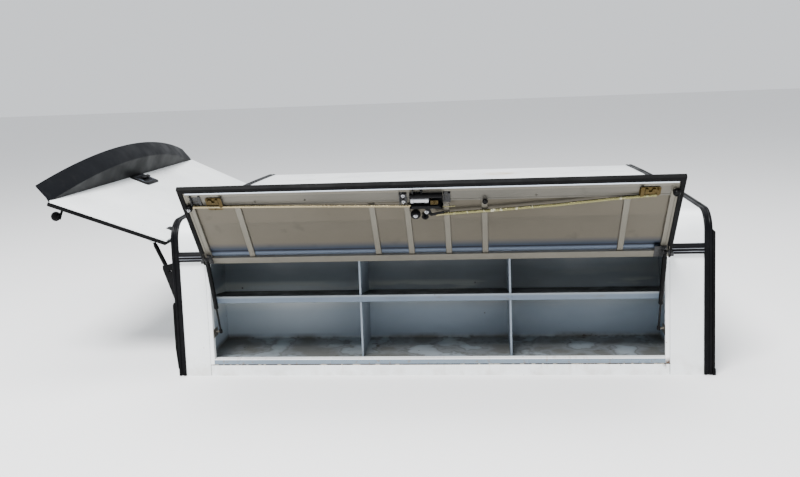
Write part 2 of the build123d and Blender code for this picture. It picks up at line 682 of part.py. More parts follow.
def strut_tube(length, tube):
    """The gas cylinder with its eye round the stud at the high pivot."""
    base = length - tube
    barrel = tube - SOCKET_RADIUS / 2
    body = Pos(0, 0, base + barrel / 2) * Cylinder(STRUT_TUBE_RADIUS, barrel)
    eye = Pos(0, 0, length) * Rot(0, 90, 0) * Cylinder(SOCKET_RADIUS, SOCKET_WIDTH)
    depth = tube - SOCKET_RADIUS - STRUT_BORE_WALL
    bore = Pos(0, 0, base + depth / 2) * Cylinder(STRUT_ROD_RADIUS + PIN_CLEARANCE, depth)
    hole = Pos(0, 0, length) * Rot(0, 90, 0) * Cylinder(STUD_RADIUS + PIN_CLEARANCE, 2 * SOCKET_WIDTH)
    return body + eye - bore - hole


# Toolbox struts lie in planes across the truck: u is y, v is z
BOX_STRUT_LOW = (-Y_WALL + BOX_STRUT_LOW_DEPTH, BOX_STRUT_LOW_HEIGHT)
BOX_STRUT_HIGH_SHUT = (BOX_HINGE_Y + BOX_STRUT_LIFT, BOX_HINGE_HEIGHT - BOX_STRUT_ARM)
BOX_STRUT_HIGH = turned(BOX_STRUT_HIGH_SHUT, (BOX_HINGE_Y, BOX_HINGE_HEIGHT), -BOX_DOOR_OPEN_ANGLE)
BOX_STRUT_LENGTH, BOX_STRUT_LEAN = strut_line(BOX_STRUT_LOW, BOX_STRUT_HIGH)
BOX_STRUT_XS = (OPENING_X0 + BOX_STRUT_INSET, OPENING_X1 - BOX_STRUT_INSET)


def place_box_strut(solid, x):
    return Pos(x, BOX_STRUT_LOW[0], BOX_STRUT_LOW[1]) * Rot(-BOX_STRUT_LEAN, 0, 0) * solid


def box_strut_mount(x, x_wall):
    """A plate on the jamb with a stud that points at the rod's socket."""
    inward = 1 if x > x_wall else -1
    y, z = BOX_STRUT_LOW
    plate = slab(x_wall, x_wall + inward * SHEET, -Y_WALL + SHEET, y + 2 * SOCKET_RADIUS,
                 z - 2 * SOCKET_RADIUS, z + 2 * SOCKET_RADIUS)
    stud = rod_x(STUD_RADIUS, x_wall, x - inward * (SOCKET_WIDTH / 2 + SOCKET_GAP), y, z)
    return plate + stud


def box_strut_bracket(x, x_wall):
    """An ear on the door frame with the stud that the strut's eye turns on, drawn with the door shut."""
    inward = 1 if x > x_wall else -1
    y, z = BOX_STRUT_HIGH_SHUT
    x1 = x - inward * (STRUT_TUBE_RADIUS + EAR_GAP)
    ear = slab(x1 - inward * SHEET, x1, DOOR_INNER, y + SOCKET_RADIUS, z - SOCKET_RADIUS, z + SOCKET_RADIUS)
    return ear + rod_x(STUD_RADIUS, x1, x + inward * SOCKET_WIDTH / 2, y, z)


# Rear struts lie in planes along the truck: u is x, v is z
REAR_STRUT_LOW = (X_REAR + REAR_STRUT_LOW_DEPTH, REAR_STRUT_LOW_HEIGHT)
REAR_STRUT_HIGH_SHUT = (REAR_HINGE_X + REAR_STRUT_LIFT, REAR_HINGE_HEIGHT - REAR_STRUT_ARM)
REAR_STRUT_HIGH = turned(REAR_STRUT_HIGH_SHUT, (REAR_HINGE_X, REAR_HINGE_HEIGHT), -REAR_DOOR_OPEN_ANGLE)
REAR_STRUT_LENGTH, REAR_STRUT_LEAN = strut_line(REAR_STRUT_LOW, REAR_STRUT_HIGH)
REAR_STRUT_Y = Y_WALL - REAR_STRUT_INSET


def place_rear_strut(solid, side):
    return (Pos(REAR_STRUT_LOW[0], side * REAR_STRUT_Y, REAR_STRUT_LOW[1])
            * Rot(0, REAR_STRUT_LEAN, 0) * Rot(0, 0, 90) * solid)


def rear_strut_mount(side):
    """A bracket from the rear post with a stud that points at the rod's socket."""
    x, z = REAR_STRUT_LOW
    inner = Y_WALL - POST_WIDTH
    near_socket = REAR_STRUT_Y + SOCKET_WIDTH / 2 + SOCKET_GAP
    foot = near_socket + SOCKET_WIDTH / 2
    block = slab(X_REAR + REAR_SEAL_WIDTH, x + SOCKET_RADIUS, side * inner, side * foot,
                 z - SOCKET_RADIUS, z + SOCKET_RADIUS)
    return block + rod_y(STUD_RADIUS, side * foot, side * near_socket, x, z)


def rear_strut_bracket(side):
    """An ear on the lift door's inside with the stud that the strut's eye turns on, door shut."""
    x, z = REAR_STRUT_HIGH_SHUT
    y0 = REAR_STRUT_Y + STRUT_TUBE_RADIUS + EAR_GAP
    y1 = REAR_STRUT_Y - SOCKET_WIDTH / 2
    half = 2 * SOCKET_RADIUS
    ear = slab(REAR_SKIN, x + SOCKET_RADIUS, side * y0, side * (y0 + SHEET), z - half, z + half)
    foot = slab(REAR_SKIN, REAR_SKIN + SHEET, side * (y0 + SHEET), side * (REAR_STRUT_Y - 2 * half),
                z - half, z + half)
    return ear + foot + rod_y(STUD_RADIUS, side * y0, side * y1, x, z)


def gusset():
    """The holed plate on the rear post's outside, above the strut's foot."""
    y0 = -Y_WALL + SHEET
    plate = along_y([(X_REAR, GUSSET_TOP), (X_REAR - GUSSET_REACH, GUSSET_TOP - 10),
                     (X_REAR - GUSSET_REACH, GUSSET_TOP - 25), (X_REAR, GUSSET_BOTTOM)],
                    y0, y0 + GUSSET_THICKNESS)
    return plate - rod_y(GUSSET_HOLE_RADIUS, y0 - 1, y0 + GUSSET_THICKNESS + 1,
                        X_REAR - GUSSET_HOLE_IN, GUSSET_TOP - GUSSET_HOLE_DOWN)


def build():
    parts = {}
    parts["side_base_rails"] = both_sides(side_rail())
    parts["front_base_rail"] = front_rail()
    parts["near_rear_panel"] = side_strip(X_REAR, OPENING_X0)
    parts["near_front_panel"] = side_strip(X_FRONT - SHEET, OPENING_X1)
    parts["near_sill_panel"] = sill()
    parts["near_belt_rail"] = belt_rail(True)
    parts["near_upper_side"] = upper_skin("near")
    far_strips = side_strip(X_REAR, OPENING_X0) + side_strip(X_FRONT - SHEET, OPENING_X1)
    parts["far_lower_side"] = flip(far_strips + sill())
    parts["far_belt_rail"] = flip(belt_rail(False))
    parts["far_upper_side"] = upper_skin("far")
    parts["header_rails"] = both_sides(header_rail())
    parts["roof_panel"] = upper_skin("roof")
    parts["front_wall"] = front_wall()
    parts["front_edge_trim"] = edge_trim(X_FRONT - TRIM_WIDTH)
    parts["rear_edge_trim"] = edge_trim(X_REAR)
    parts["front_seals"] = both_sides(front_seal() + front_foot())
    parts["rear_seals"] = both_sides(rear_seal())
    parts["rear_posts"] = both_sides(rear_post() + rear_corner() + rear_strut_mount(-1))
    parts["rear_header"] = rear_header()
    parts["rear_gussets"] = both_sides(gusset())
    parts["rear_hinge_arms"] = group(rear_hinge_arms())

    parts["toolbox_floor"] = box_floor()
    parts["toolbox_back"] = box_back()
    parts["toolbox_ends"] = group([box_end(BOX_X0), box_end(BOX_X1 - SHEET)])
    parts["toolbox_ceiling"] = box_ceiling()
    parts["toolbox_shelf"] = shelf()
    parts["toolbox_dividers"] = group(divider(X_REAR + place) for place in DIVIDER_PLACES)
    parts["toolbox_hinge_pin"] = box_hinge_pin()
    far_ends = box_end(BOX_X0) + box_end(BOX_X1 - SHEET)
    parts["far_toolbox"] = flip(box_floor() + box_back() + far_ends + box_ceiling())
    far_door = box_door_skin() + box_door_frame() + box_door_edging()
    parts["far_toolbox_door"] = Pos(0, -DOOR_GAP, 0) * flip(far_door)

    walls = (OPENING_X0, OPENING_X1)
    strut_sides = list(zip(BOX_STRUT_XS, walls))
    parts["toolbox_strut_mounts"] = group(box_strut_mount(x, wall) for x, wall in strut_sides)
    brackets = [box_strut_bracket(x, wall) for x, wall in strut_sides]
    parts["toolbox_door_hinge"] = raise_box_door(box_hinge_tube())
    parts["toolbox_door_skin"] = raise_box_door(box_door_skin())
    parts["toolbox_door_frame"] = raise_box_door(box_door_frame() + brackets[0] + brackets[1])
    parts["toolbox_door_ribs"] = raise_box_door(box_door_ribs())
    parts["toolbox_door_seal"] = raise_box_door(box_door_seal())
    parts["toolbox_latch_rail"] = raise_box_door(latch_rail())
    parts["toolbox_end_latches"] = raise_box_door(group([
        end_latch(LATCH_X0), end_latch(LATCH_X1 - END_LATCH_LENGTH)]))
    parts["toolbox_latch_rods"] = raise_box_door(group([
        latch_rod(LATCH_X0 + END_LATCH_LENGTH, LOCK_X0), latch_rod(LOCK_X1, LATCH_X1 - END_LATCH_LENGTH)]))
    parts["toolbox_lock"] = raise_box_door(central_lock())
    for name, x in zip(("rear", "front"), BOX_STRUT_XS):
        rod = strut_rod(BOX_STRUT_LENGTH, BOX_STRUT_TUBE)
        tube = strut_tube(BOX_STRUT_LENGTH, BOX_STRUT_TUBE)
        parts["toolbox_" + name + "_strut_rod"] = place_box_strut(rod, x)
        parts["toolbox_" + name + "_strut_cylinder"] = place_box_strut(tube, x)

    parts["rear_door_panel"] = raise_rear_door(rear_door_panel())
    parts["rear_door_frame"] = raise_rear_door(
        rear_door_frame() + rear_strut_bracket(-1) + rear_strut_bracket(1))
    parts["rear_door_seal"] = raise_rear_door(rear_door_seal())
    parts["rear_door_skirt"] = raise_rear_door(rear_door_skirt())
    parts["rear_door_hinges"] = raise_rear_door(group(rear_door_hinges()))
    parts["rear_handle_base"] = raise_rear_door(handle_base())
    parts["rear_handle"] = raise_rear_door(handle())
    parts["rear_door_bumpers"] = raise_rear_door(group([rear_bumper(-1), rear_bumper(1)]))
    for name, side in (("near", -1), ("far", 1)):
        rod = strut_rod(REAR_STRUT_LENGTH, REAR_STRUT_TUBE)
        tube = strut_tube(REAR_STRUT_LENGTH, REAR_STRUT_TUBE)
        parts[name + "_rear_strut_rod"] = place_rear_strut(rod, side)
        parts[name + "_rear_strut_cylinder"] = place_rear_strut(tube, side)
    return parts


os.makedirs("parts", exist_ok=True)
for node, solid in build().items():
    export_step(solid, os.path.join("parts", node + ".step"))
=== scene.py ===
"""Pickup truck canopy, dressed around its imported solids.

Metres, in the frame of the solids: +X forward along the truck, near side at -Y, +Z up.
The pieces of the two lift doors are drawn shut and then turned up to where they stand.
"""

from math import cos, pi, radians, sin

import bmesh
import bpy
from mathutils import Matrix, Vector


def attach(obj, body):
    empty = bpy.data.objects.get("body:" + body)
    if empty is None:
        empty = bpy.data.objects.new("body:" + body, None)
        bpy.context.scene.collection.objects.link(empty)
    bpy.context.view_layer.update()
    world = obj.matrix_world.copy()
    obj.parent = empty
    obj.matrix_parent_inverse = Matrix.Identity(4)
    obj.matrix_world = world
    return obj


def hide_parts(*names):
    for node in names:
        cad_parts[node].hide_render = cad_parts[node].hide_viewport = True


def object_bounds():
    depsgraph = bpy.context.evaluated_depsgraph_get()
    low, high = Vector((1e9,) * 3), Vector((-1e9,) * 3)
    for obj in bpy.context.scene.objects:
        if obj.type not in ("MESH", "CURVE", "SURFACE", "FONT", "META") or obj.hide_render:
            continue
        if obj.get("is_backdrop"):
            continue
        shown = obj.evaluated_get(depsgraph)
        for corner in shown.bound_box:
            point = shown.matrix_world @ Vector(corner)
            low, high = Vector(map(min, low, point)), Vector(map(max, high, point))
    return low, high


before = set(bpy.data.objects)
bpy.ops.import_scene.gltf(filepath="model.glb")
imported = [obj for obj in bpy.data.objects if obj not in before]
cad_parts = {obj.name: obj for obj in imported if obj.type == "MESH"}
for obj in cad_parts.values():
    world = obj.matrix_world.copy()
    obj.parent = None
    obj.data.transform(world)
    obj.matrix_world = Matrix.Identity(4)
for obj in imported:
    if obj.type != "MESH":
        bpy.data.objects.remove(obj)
cad_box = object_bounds()

# Floor, daylight and camera
# A pale floor and soft studio light from above the near side. The camera stands a little
# above the roof, square to the near wall, and is tilted slightly to the left.
EYE = Vector((-0.8173, -4.1597, 1.1361))
YAW, PITCH, ROLL = 0.1114, 0.1124, -0.0392
FOCAL_PIXELS = 877.7
SENSOR = 36.0
IMAGE_WIDTH, IMAGE_HEIGHT = 800, 477
OPTICAL_CENTRE = (380.7, 180.0)

ahead = Vector((-sin(YAW) * cos(PITCH), cos(YAW) * cos(PITCH), -sin(PITCH)))
level_right = Vector((cos(YAW), sin(YAW), 0))
level_up = level_right.cross(ahead)
right = level_right * cos(ROLL) + level_up * sin(ROLL)
up = level_up * cos(ROLL) - level_right * sin(ROLL)
camera = bpy.data.objects.new("camera", bpy.data.cameras.new("camera"))
camera.data.sensor_width = SENSOR
camera.data.lens = FOCAL_PIXELS * SENSOR / IMAGE_WIDTH
camera.data.shift_x = (IMAGE_WIDTH / 2 - OPTICAL_CENTRE[0]) / IMAGE_WIDTH
camera.data.shift_y = (OPTICAL_CENTRE[1] - IMAGE_HEIGHT / 2) / IMAGE_WIDTH
camera.matrix_world = Matrix.Translation(EYE) @ Matrix((right, up, -ahead)).transposed().to_4x4()
bpy.context.scene.collection.objects.link(camera)
bpy.context.scene.camera = camera

floor_mesh = bpy.data.meshes.new("floor")
floor_mesh.from_pydata([(-40, -40, 0), (40, -40, 0), (40, 40, 0), (-40, 40, 0)], [], [(0, 1, 2, 3)])
floor = bpy.data.objects.new("floor", floor_mesh)
floor_paint = bpy.data.materials.new("floor_paint")
floor_paint.use_nodes = True
floor_shader = floor_paint.node_tree.nodes["Principled BSDF"]
floor_shader.inputs["Base Color"].default_value = (0.82, 0.82, 0.82, 1)
floor_shader.inputs["Roughness"].default_value = 0.9
floor_shader.inputs["Specular IOR Level"].default_value = 0.1
floor_mesh.materials.append(floor_paint)
bpy.context.scene.collection.objects.link(floor)
floor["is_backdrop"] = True

sky = bpy.data.worlds.new("sky")
sky.use_nodes = True
sky.node_tree.nodes["Background"].inputs["Color"].default_value = (0.93, 0.96, 1.0, 1)
sky.node_tree.nodes["Background"].inputs["Strength"].default_value = 1.05
bpy.context.scene.world = sky


def softbox(name, place, aim, width, height, power):
    light = bpy.data.lights.new(name, "AREA")
    light.shape = "RECTANGLE"
    light.size, light.size_y, light.energy = width, height, power
    lamp = bpy.data.objects.new(name, light)
    lamp.location = place
    lamp.rotation_mode = "QUATERNION"
    lamp.rotation_quaternion = (Vector(aim) - Vector(place)).to_track_quat("-Z", "Y")
    bpy.context.scene.collection.objects.link(lamp)


softbox("key", (-2.2, -4.2, 6.0), (-1.0, -0.6, 0.3), 2.6, 2.0, 1050)
softbox("overhead", (-1.0, 0.6, 5.5), (-1.0, 0.0, 0.6), 5.0, 3.0, 260)


# White baked paint on the shell's sheets
# The side walls, roof, front wall and lift door are thin aluminium sheet in gloss white.
# Years outdoors have left a fine orange peel, faint grey runs, and specks of rust and grime.
WHITE = (0.86, 0.885, 0.89)
WHITE_WORN = (0.70, 0.73, 0.74)
GRIME = (0.16, 0.12, 0.08)


def part_space(tree, stretch=(1, 1, 1)):
    """Coordinates that stay with the part, squeezed or stretched along its axes."""
    place = tree.nodes.new("ShaderNodeTexCoord")
    squeeze = tree.nodes.new("ShaderNodeMapping")
    squeeze.inputs["Scale"].default_value = stretch
    tree.links.new(place.outputs["Object"], squeeze.inputs["Vector"])
    return squeeze.outputs["Vector"]


def limits(tree, value, low, high, at_low=0.0, at_high=1.0):
    span = tree.nodes.new("ShaderNodeMapRange")
    span.inputs["From Min"].default_value = low
    span.inputs["From Max"].default_value = high
    span.inputs["To Min"].default_value = at_low
    span.inputs["To Max"].default_value = at_high
    tree.links.new(value, span.inputs["Value"])
    return span.outputs["Result"]


def clouds(tree, scale, low=0.35, high=0.65, stretch=(1, 1, 1), detail=4.0):
    """A soft mottled mask."""
    noise = tree.nodes.new("ShaderNodeTexNoise")
    noise.inputs["Scale"].default_value = scale
    noise.inputs["Detail"].default_value = detail
    tree.links.new(part_space(tree, stretch), noise.inputs["Vector"])
    return limits(tree, noise.outputs["Fac"], low, high)


def specks(tree, scale, size, share, stretch=(1, 1, 1)):
    """Small scattered dots: size is in cells, share is how many cells have one."""
    cells = tree.nodes.new("ShaderNodeTexVoronoi")
    cells.inputs["Scale"].default_value = scale
    tree.links.new(part_space(tree, stretch), cells.inputs["Vector"])
    chosen = tree.nodes.new("ShaderNodeSeparateColor")
    tree.links.new(cells.outputs["Color"], chosen.inputs["Color"])
    dots = limits(tree, cells.outputs["Distance"], size, size * 0.5)
    return times(tree, dots, limits(tree, chosen.outputs["Red"], share, share - 0.02))


def times(tree, mask, *others):
    """The product of a mask with other masks and plain strengths."""
    for other in others:
        product = tree.nodes.new("ShaderNodeMath")
        product.operation = "MULTIPLY"
        tree.links.new(mask, product.inputs[0])
        if isinstance(other, float):
            product.inputs[1].default_value = other
        else:
            tree.links.new(other, product.inputs[1])
        mask = product.outputs[0]
    return mask


def near_level(tree, axis, start, end):
    """1 at start along an axis of the part, falling to 0 at end."""
    split = tree.nodes.new("ShaderNodeSeparateXYZ")
    tree.links.new(part_space(tree), split.inputs[0])
    return limits(tree, split.outputs[axis], start, end, 1.0, 0.0)


def over(tree, mask, under, colour):
    """Lays a colour over another where the mask is 1."""
    mix = tree.nodes.new("ShaderNodeMix")
    mix.data_type = "RGBA"
    tree.links.new(mask, mix.inputs["Factor"])
    for value, socket in ((under, mix.inputs[6]), (colour, mix.inputs[7])):
        if isinstance(value, tuple):
            socket.default_value = (*value, 1)
        else:
            tree.links.new(value, socket)
    return mix.outputs[2]


def new_finish(name, metallic=0.0, coat=0.0):
    """A material, its node tree and its shader."""
    finish = bpy.data.materials.new(name)
    finish.use_nodes = True
    shader = finish.node_tree.nodes["Principled BSDF"]
    shader.inputs["Metallic"].default_value = metallic
    shader.inputs["Coat Weight"].default_value = coat
    shader.inputs["Coat Roughness"].default_value = 0.12
    return finish, finish.node_tree, shader


def emboss(tree, shader, height, depth):
    """Adds relief, depth in metres."""
    bump = tree.nodes.new("ShaderNodeBump")
    bump.inputs["Strength"].default_value = 1.0
    bump.inputs["Distance"].default_value = depth
    tree.links.new(height, bump.inputs["Height"])
    before = shader.inputs["Normal"].links
    if before:
        tree.links.new(before[0].from_socket, bump.inputs["Normal"])
    tree.links.new(bump.outputs["Normal"], shader.inputs["Normal"])


def cover(tree, shader, colour, mask, smooth, rough):
    """Sets the colour, and a roughness that goes from smooth to rough as the mask rises."""
    tree.links.new(colour, shader.inputs["Base Color"])
    tree.links.new(limits(tree, mask, 0.0, 1.0, smooth, rough), shader.inputs["Roughness"])


def baked_white(name, clean, wear_and_reflection, grime_top):
    """White paint, with grime that fades out at grime_top above the base."""
    finish, tree, shader = new_finish(name, coat=0.35)
    colour = over(tree, clouds(tree, 2.3, 0.45, 0.8), clean, wear_and_reflection)
    runs = times(tree, clouds(tree, 3.0, 0.55, 0.85, (14, 14, 0.8)), 0.35)
    colour = over(tree, runs, colour, wear_and_reflection)
    foot = times(tree, near_level(tree, "Z", 0.0, grime_top), clouds(tree, 22.0, 0.42, 0.7), 0.45)
    colour = over(tree, foot, colour, (0.42, 0.38, 0.32))
    colour = over(tree, specks(tree, 36.0, 0.12, 0.16), colour, GRIME)
    cover(tree, shader, colour, clouds(tree, 5.0), 0.24, 0.42)
    emboss(tree, shader, clouds(tree, 420.0, 0.3, 0.7), 0.00006)
    emboss(tree, shader, clouds(tree, 1.6, 0.2, 0.8, detail=1.0), 0.004)
    return finish


white_paint = baked_white("white_paint", WHITE, WHITE_WORN, 0.09)


def mottled(name, first, second, roughness, mask, metallic=0.0):
    """A dull finish that changes between two colours in patches: mask has the arguments of clouds."""
    finish, tree, shader = new_finish(name, metallic)
    tree.links.new(over(tree, clouds(tree, *mask), first, second), shader.inputs["Base Color"])
    shader.inputs["Roughness"].default_value = roughness
    return finish


def dress(names, finish, edge=0.0):
    """Gives solids that stay their finish, and breaks their edges."""
    for name in names:
        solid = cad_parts[name]
        solid.data.materials.clear()
        solid.data.materials.append(finish)
        if edge:
            round_edges(solid, edge)


def round_edges(piece, width):
    softened = piece.modifiers.new("edges", "BEVEL")
    softened.width = width
    softened.segments = 2
    softened.limit_method = "ANGLE"
    softened.angle_limit = radians(35)
    softened.harden_normals = True


dress(["near_rear_panel", "near_front_panel", "far_lower_side", "front_wall",
       "rear_posts", "rear_header", "header_rails"], white_paint, 0.0006)
dress(["near_upper_side", "far_upper_side"], white_paint)


def make(name, mesh, finish, body="shell", stands_for=(), edge=0.0, turn=None):
    """Turns a mesh into a piece that rides on a body of the frame."""
    bmesh.ops.remove_doubles(mesh, verts=mesh.verts, dist=0.00002)
    bmesh.ops.recalc_face_normals(mesh, faces=mesh.faces)
    data = bpy.data.meshes.new(name)
    mesh.to_mesh(data)
    mesh.free()
    if turn:
        data.transform(turn)
        if turn.determinant() < 0:
            data.flip_normals()
    data.materials.append(finish)
    data.shade_smooth()
    data.set_sharp_from_angle(angle=radians(40))
    piece = bpy.data.objects.new(name, data)
    bpy.context.scene.collection.objects.link(piece)
    if edge:
        round_edges(piece, edge)
    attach(piece, body)
    if stands_for:
        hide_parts(*stands_for)
    return piece


def add_skin(mesh, loops, ends=True):
    """Joins each loop of corners to the next one, and closes the first and the last."""
    for lower, upper in zip(loops, loops[1:]):
        for k in range(len(lower)):
            n = (k + 1) % len(lower)
            mesh.faces.new((lower[k], lower[n], upper[n], upper[k]))
    if ends:
        mesh.faces.new(loops[0])
        mesh.faces.new(list(reversed(loops[-1])))


def add_bar(mesh, outline, start, end, axis="X"):
    """A straight bar: its outline is in the plane across the axis, in the order X, Y, Z."""
    loops = []
    for place in (start, end):
        corners = []
        for a, b in outline:
            point = {"X": (place, a, b), "Y": (a, place, b), "Z": (a, b, place)}[axis]
            corners.append(mesh.verts.new(point))
        loops.append(corners)
    add_skin(mesh, loops)


def oblong(a0, a1, b0, b1):
    return [(a0, b0), (a1, b0), (a1, b1), (a0, b1)]


def add_turned(mesh, rings, place, along, sides=20):
    """A turned piece: rings of (radius, height) from its foot at place along a direction.

    A list of rings that ends where it began makes a tube; any other one is closed by flat ends.
    """
    turn = Vector(along).to_track_quat("Z", "Y").to_matrix().to_4x4()
    seat = Matrix.Translation(place) @ turn
    loops = []
    for radius, height in rings:
        if radius < 0.00001:
            loops.append([mesh.verts.new(seat @ Vector((0, 0, height)))])
            continue
        loops.append([mesh.verts.new(seat @ Vector((radius * cos(2 * pi * k / sides),
                                                    radius * sin(2 * pi * k / sides), height)))
                      for k in range(sides)])
    for lower, upper in zip(loops, loops[1:]):
        for k in range(sides):
            n = (k + 1) % sides
            ring = [lower[k % len(lower)], lower[n % len(lower)],
                    upper[n % len(upper)], upper[k % len(upper)]]
            corners = list(dict.fromkeys(ring))
            if len(corners) > 2:
                mesh.faces.new(corners)
    for loop in (loops[0], loops[-1]):
        if len(loop) > 2 and rings[0] != rings[-1]:
            mesh.faces.new(loop)


def add_pipe(mesh, points, radius, sides=10):
    """A round wire through points, with flat ends."""
    path = [Vector(p) for p in points]
    loops = []
    side = None
    for i, point in enumerate(path):
        ahead_here = (path[min(i + 1, len(path) - 1)] - path[max(i - 1, 0)]).normalized()
        side = side or ahead_here.orthogonal()
        side = (side - ahead_here * side.dot(ahead_here)).normalized()
        other = ahead_here.cross(side)
        loops.append([mesh.verts.new(point + radius * (side * cos(2 * pi * k / sides)
                                                       + other * sin(2 * pi * k / sides)))
                      for k in range(sides)])
    add_skin(mesh, loops)


def add_rivets(mesh, places, along, radius=0.0032):
    """Domed pop rivets with the small well of the broken stem."""
    for place in places:
        add_turned(mesh, [(radius, 0), (radius, 0.0004), (radius * 0.75, 0.0012), (radius * 0.4, 0.0015),
                          (radius * 0.33, 0.0008), (0, 0.0008)], place, along, 12)


def spaced(start, end, count):
    return [start + (end - start) * k / (count - 1) for k in range(count)]


# Rim of the opening, sill and seams
# The sheet is folded back round the toolbox opening and leaves a narrow raised rim. The sill
# under it is a separate strip, and grey sealant fills the upright joints beside it; above the sill
# the same grey line runs up the rim's outer edge as painted shade. Dirt and rust gather along
# the fold, and the roof has a yellow stain and dark specks.
SHELL_HALF = 0.88
NEAR_WALL = -SHELL_HALF
SEAMS = (-1.889, -0.123)
OPENING = (-1.874, -0.139)
SILL = 0.066
FOLD = 0.046


def around(tree, place, radius):
    """1 at a place on the part, falling to 0 at radius."""
    reach = tree.nodes.new("ShaderNodeVectorMath")
    reach.operation = "DISTANCE"
    reach.inputs[1].default_value = place
    tree.links.new(part_space(tree), reach.inputs[0])
    return limits(tree, reach.outputs["Value"], radius, radius * 0.3)


def tint(finish, mask, colour):
    """Lays one more colour on a finish."""
    tree = finish.node_tree
    base = tree.nodes["Principled BSDF"].inputs["Base Color"]
    tree.links.new(over(tree, mask, base.links[0].from_socket, colour), base)


roof_paint = baked_white("roof_paint", WHITE, WHITE_WORN, 0.0)
tree = roof_paint.node_tree
stain = times(tree, around(tree, (-0.70, 0.505, 0.62), 0.11), clouds(tree, 16.0, 0.30, 0.55), 0.8)
tint(roof_paint, stain, (0.55, 0.44, 0.22))
tint(roof_paint, specks(tree, 7.0, 0.05, 0.30), (0.05, 0.045, 0.04))
dress(["roof_panel"], roof_paint)

sill_paint = baked_white("sill_paint", WHITE, WHITE_WORN, 0.05)
tree = sill_paint.node_tree
above_line = near_level(tree, "Z", FOLD - 0.0005, FOLD - 0.005)
below_line = near_level(tree, "Z", FOLD + 0.001, FOLD + 0.002)
crumbs = times(tree, above_line, below_line, clouds(tree, 70.0, 0.52, 0.60))
tint(sill_paint, crumbs, (0.11, 0.062, 0.030))
drips = times(tree, near_level(tree, "Z", FOLD, 0.012), clouds(tree, 4.0, 0.60, 0.72, (16, 1, 0.6)), 0.35)
tint(sill_paint, drips, (0.45, 0.36, 0.26))
dress(["near_sill_panel"], sill_paint, 0.0006)

rim_paint = baked_white("rim_paint", WHITE, WHITE_WORN, 0.07)
for spotted in (rim_paint, sill_paint):
    tree = spotted.node_tree
    corner = around(tree, (SEAMS[1] - 0.005, NEAR_WALL, FOLD - 0.001), 0.026)
    tint(spotted, times(tree, corner, clouds(tree, 90.0, 0.20, 0.45)), (0.060, 0.028, 0.012))
rim = bmesh.new()
BACK = NEAR_WALL + 0.001
PROUD = NEAR_WALL - 0.0009
for x0, x1 in ((SEAMS[0], OPENING[0]), (OPENING[1], SEAMS[1])):
    add_bar(rim, [(x0, BACK), (x0, PROUD + 0.0004), (x0 + 0.0006, PROUD), (x1 - 0.0006, PROUD),
                  (x1, PROUD + 0.0004), (x1, BACK)], FOLD, 0.452, "Z")
make("opening_rim", rim, rim_paint)

# Painted reflection: the fold's face under the sill is a dark blue in place of white; the specks laid over it
# are dirt.
lip_reflection_paint = baked_white("lip_reflection_paint", (0.138, 0.183, 0.230), (0.115, 0.150, 0.192), 0.05)
tree = lip_reflection_paint.node_tree
tint(lip_reflection_paint, times(tree, clouds(tree, 60.0, 0.60, 0.68), 0.6), (0.16, 0.12, 0.08))
lip = bmesh.new()
LIP_TOP = SILL - 0.0028
add_bar(lip, [(BACK, FOLD), (PROUD + 0.0004, FOLD), (PROUD, FOLD + 0.0008), (PROUD, LIP_TOP - 0.0008),
              (PROUD + 0.0004, LIP_TOP), (BACK, LIP_TOP)], *OPENING)
make("sill_fold", lip, lip_reflection_paint)

dirt = mottled("fold_dirt", (0.30, 0.27, 0.22), (0.018, 0.011, 0.006), 0.85, (40.0, 0.40, 0.47, (1, 1, 0.2)))
dirt_line = bmesh.new()
add_bar(dirt_line, oblong(NEAR_WALL - 0.0007, NEAR_WALL + 0.0005, FOLD - 0.0036, FOLD + 0.0001),
        SEAMS[0], SEAMS[1] + 0.002)
make("fold_dirt_line", dirt_line, dirt)

# Sealant in the joints beside the sill; above the sill the same line is painted shade along the rim's outer
# edge.
joint_and_shade_line = mottled("seam_sealant_and_shade", (0.13, 0.135, 0.14), (0.30, 0.31, 0.32), 0.75, (60.0,))
bead = bmesh.new()
for x in SEAMS:
    add_bar(bead, oblong(x - 0.0010, x + 0.0010, NEAR_WALL - 0.0006, NEAR_WALL + 0.0004), 0.002, 0.44, "Z")
make("seams_and_rim_shade", bead, joint_and_shade_line)


# Belt rails
# A black extruded rail covers the seam along each side: three rounded ribs with two grooves
# between them. On the near side its lower rib is cut away over the door's hinge.
BELT = (0.462, 0.500)
BELT_DEPTH = 0.012
BELT_GROOVE = 0.005
BELT_STEP = (BELT[1] - BELT[0]) / 7
BELT_ENDS = (-1.99, 0.0)
HINGE_NOTCH = (-1.895, -0.114)
NOTCH_TOP = 0.475


def satin_black(name, fresh, faded, roughness, relief=300.0, depth=0.0001):
    """Black that the sun has dulled in patches, with dust in its low places."""
    finish, tree, shader = new_finish(name)
    colour = over(tree, clouds(tree, 6.0, 0.4, 0.75), fresh, faded)
    dust = times(tree, clouds(tree, 34.0, 0.55, 0.78), 0.12)
    colour = over(tree, dust, colour, (0.030, 0.029, 0.027))
    shader.inputs["Specular IOR Level"].default_value = 0.07
    cover(tree, shader, colour, clouds(tree, 9.0), roughness - 0.06, roughness + 0.1)
    emboss(tree, shader, clouds(tree, relief, 0.3, 0.7), depth)
    return finish


black_paint = satin_black("black_paint", (0.0013, 0.0014, 0.0019), (0.0030, 0.0032, 0.0040), 0.36)


def belt_outline(side, foot):
    """Three ribs with rolled edges, from the rail's foot up."""
    face = side * SHELL_HALF
    proud = side * (SHELL_HALF + BELT_DEPTH)
    sunk = side * (SHELL_HALF + BELT_DEPTH - BELT_GROOVE)
    roll = 0.0012
    outline = [(face, foot)]
    for rib in range(3):
        low = max(foot, BELT[0] + 2 * rib * BELT_STEP)
        high = BELT[0] + (2 * rib + 1) * BELT_STEP
        if high <= foot:
            continue
        outline += [(proud - side * roll, low), (proud, low + roll),
                    (proud, high - roll), (proud - side * roll, high)]
        if rib < 2:
            outline += [(sunk, high + roll * 0.5), (sunk, high + BELT_STEP - roll * 0.5)]
    return outline + [(face, BELT[1])]


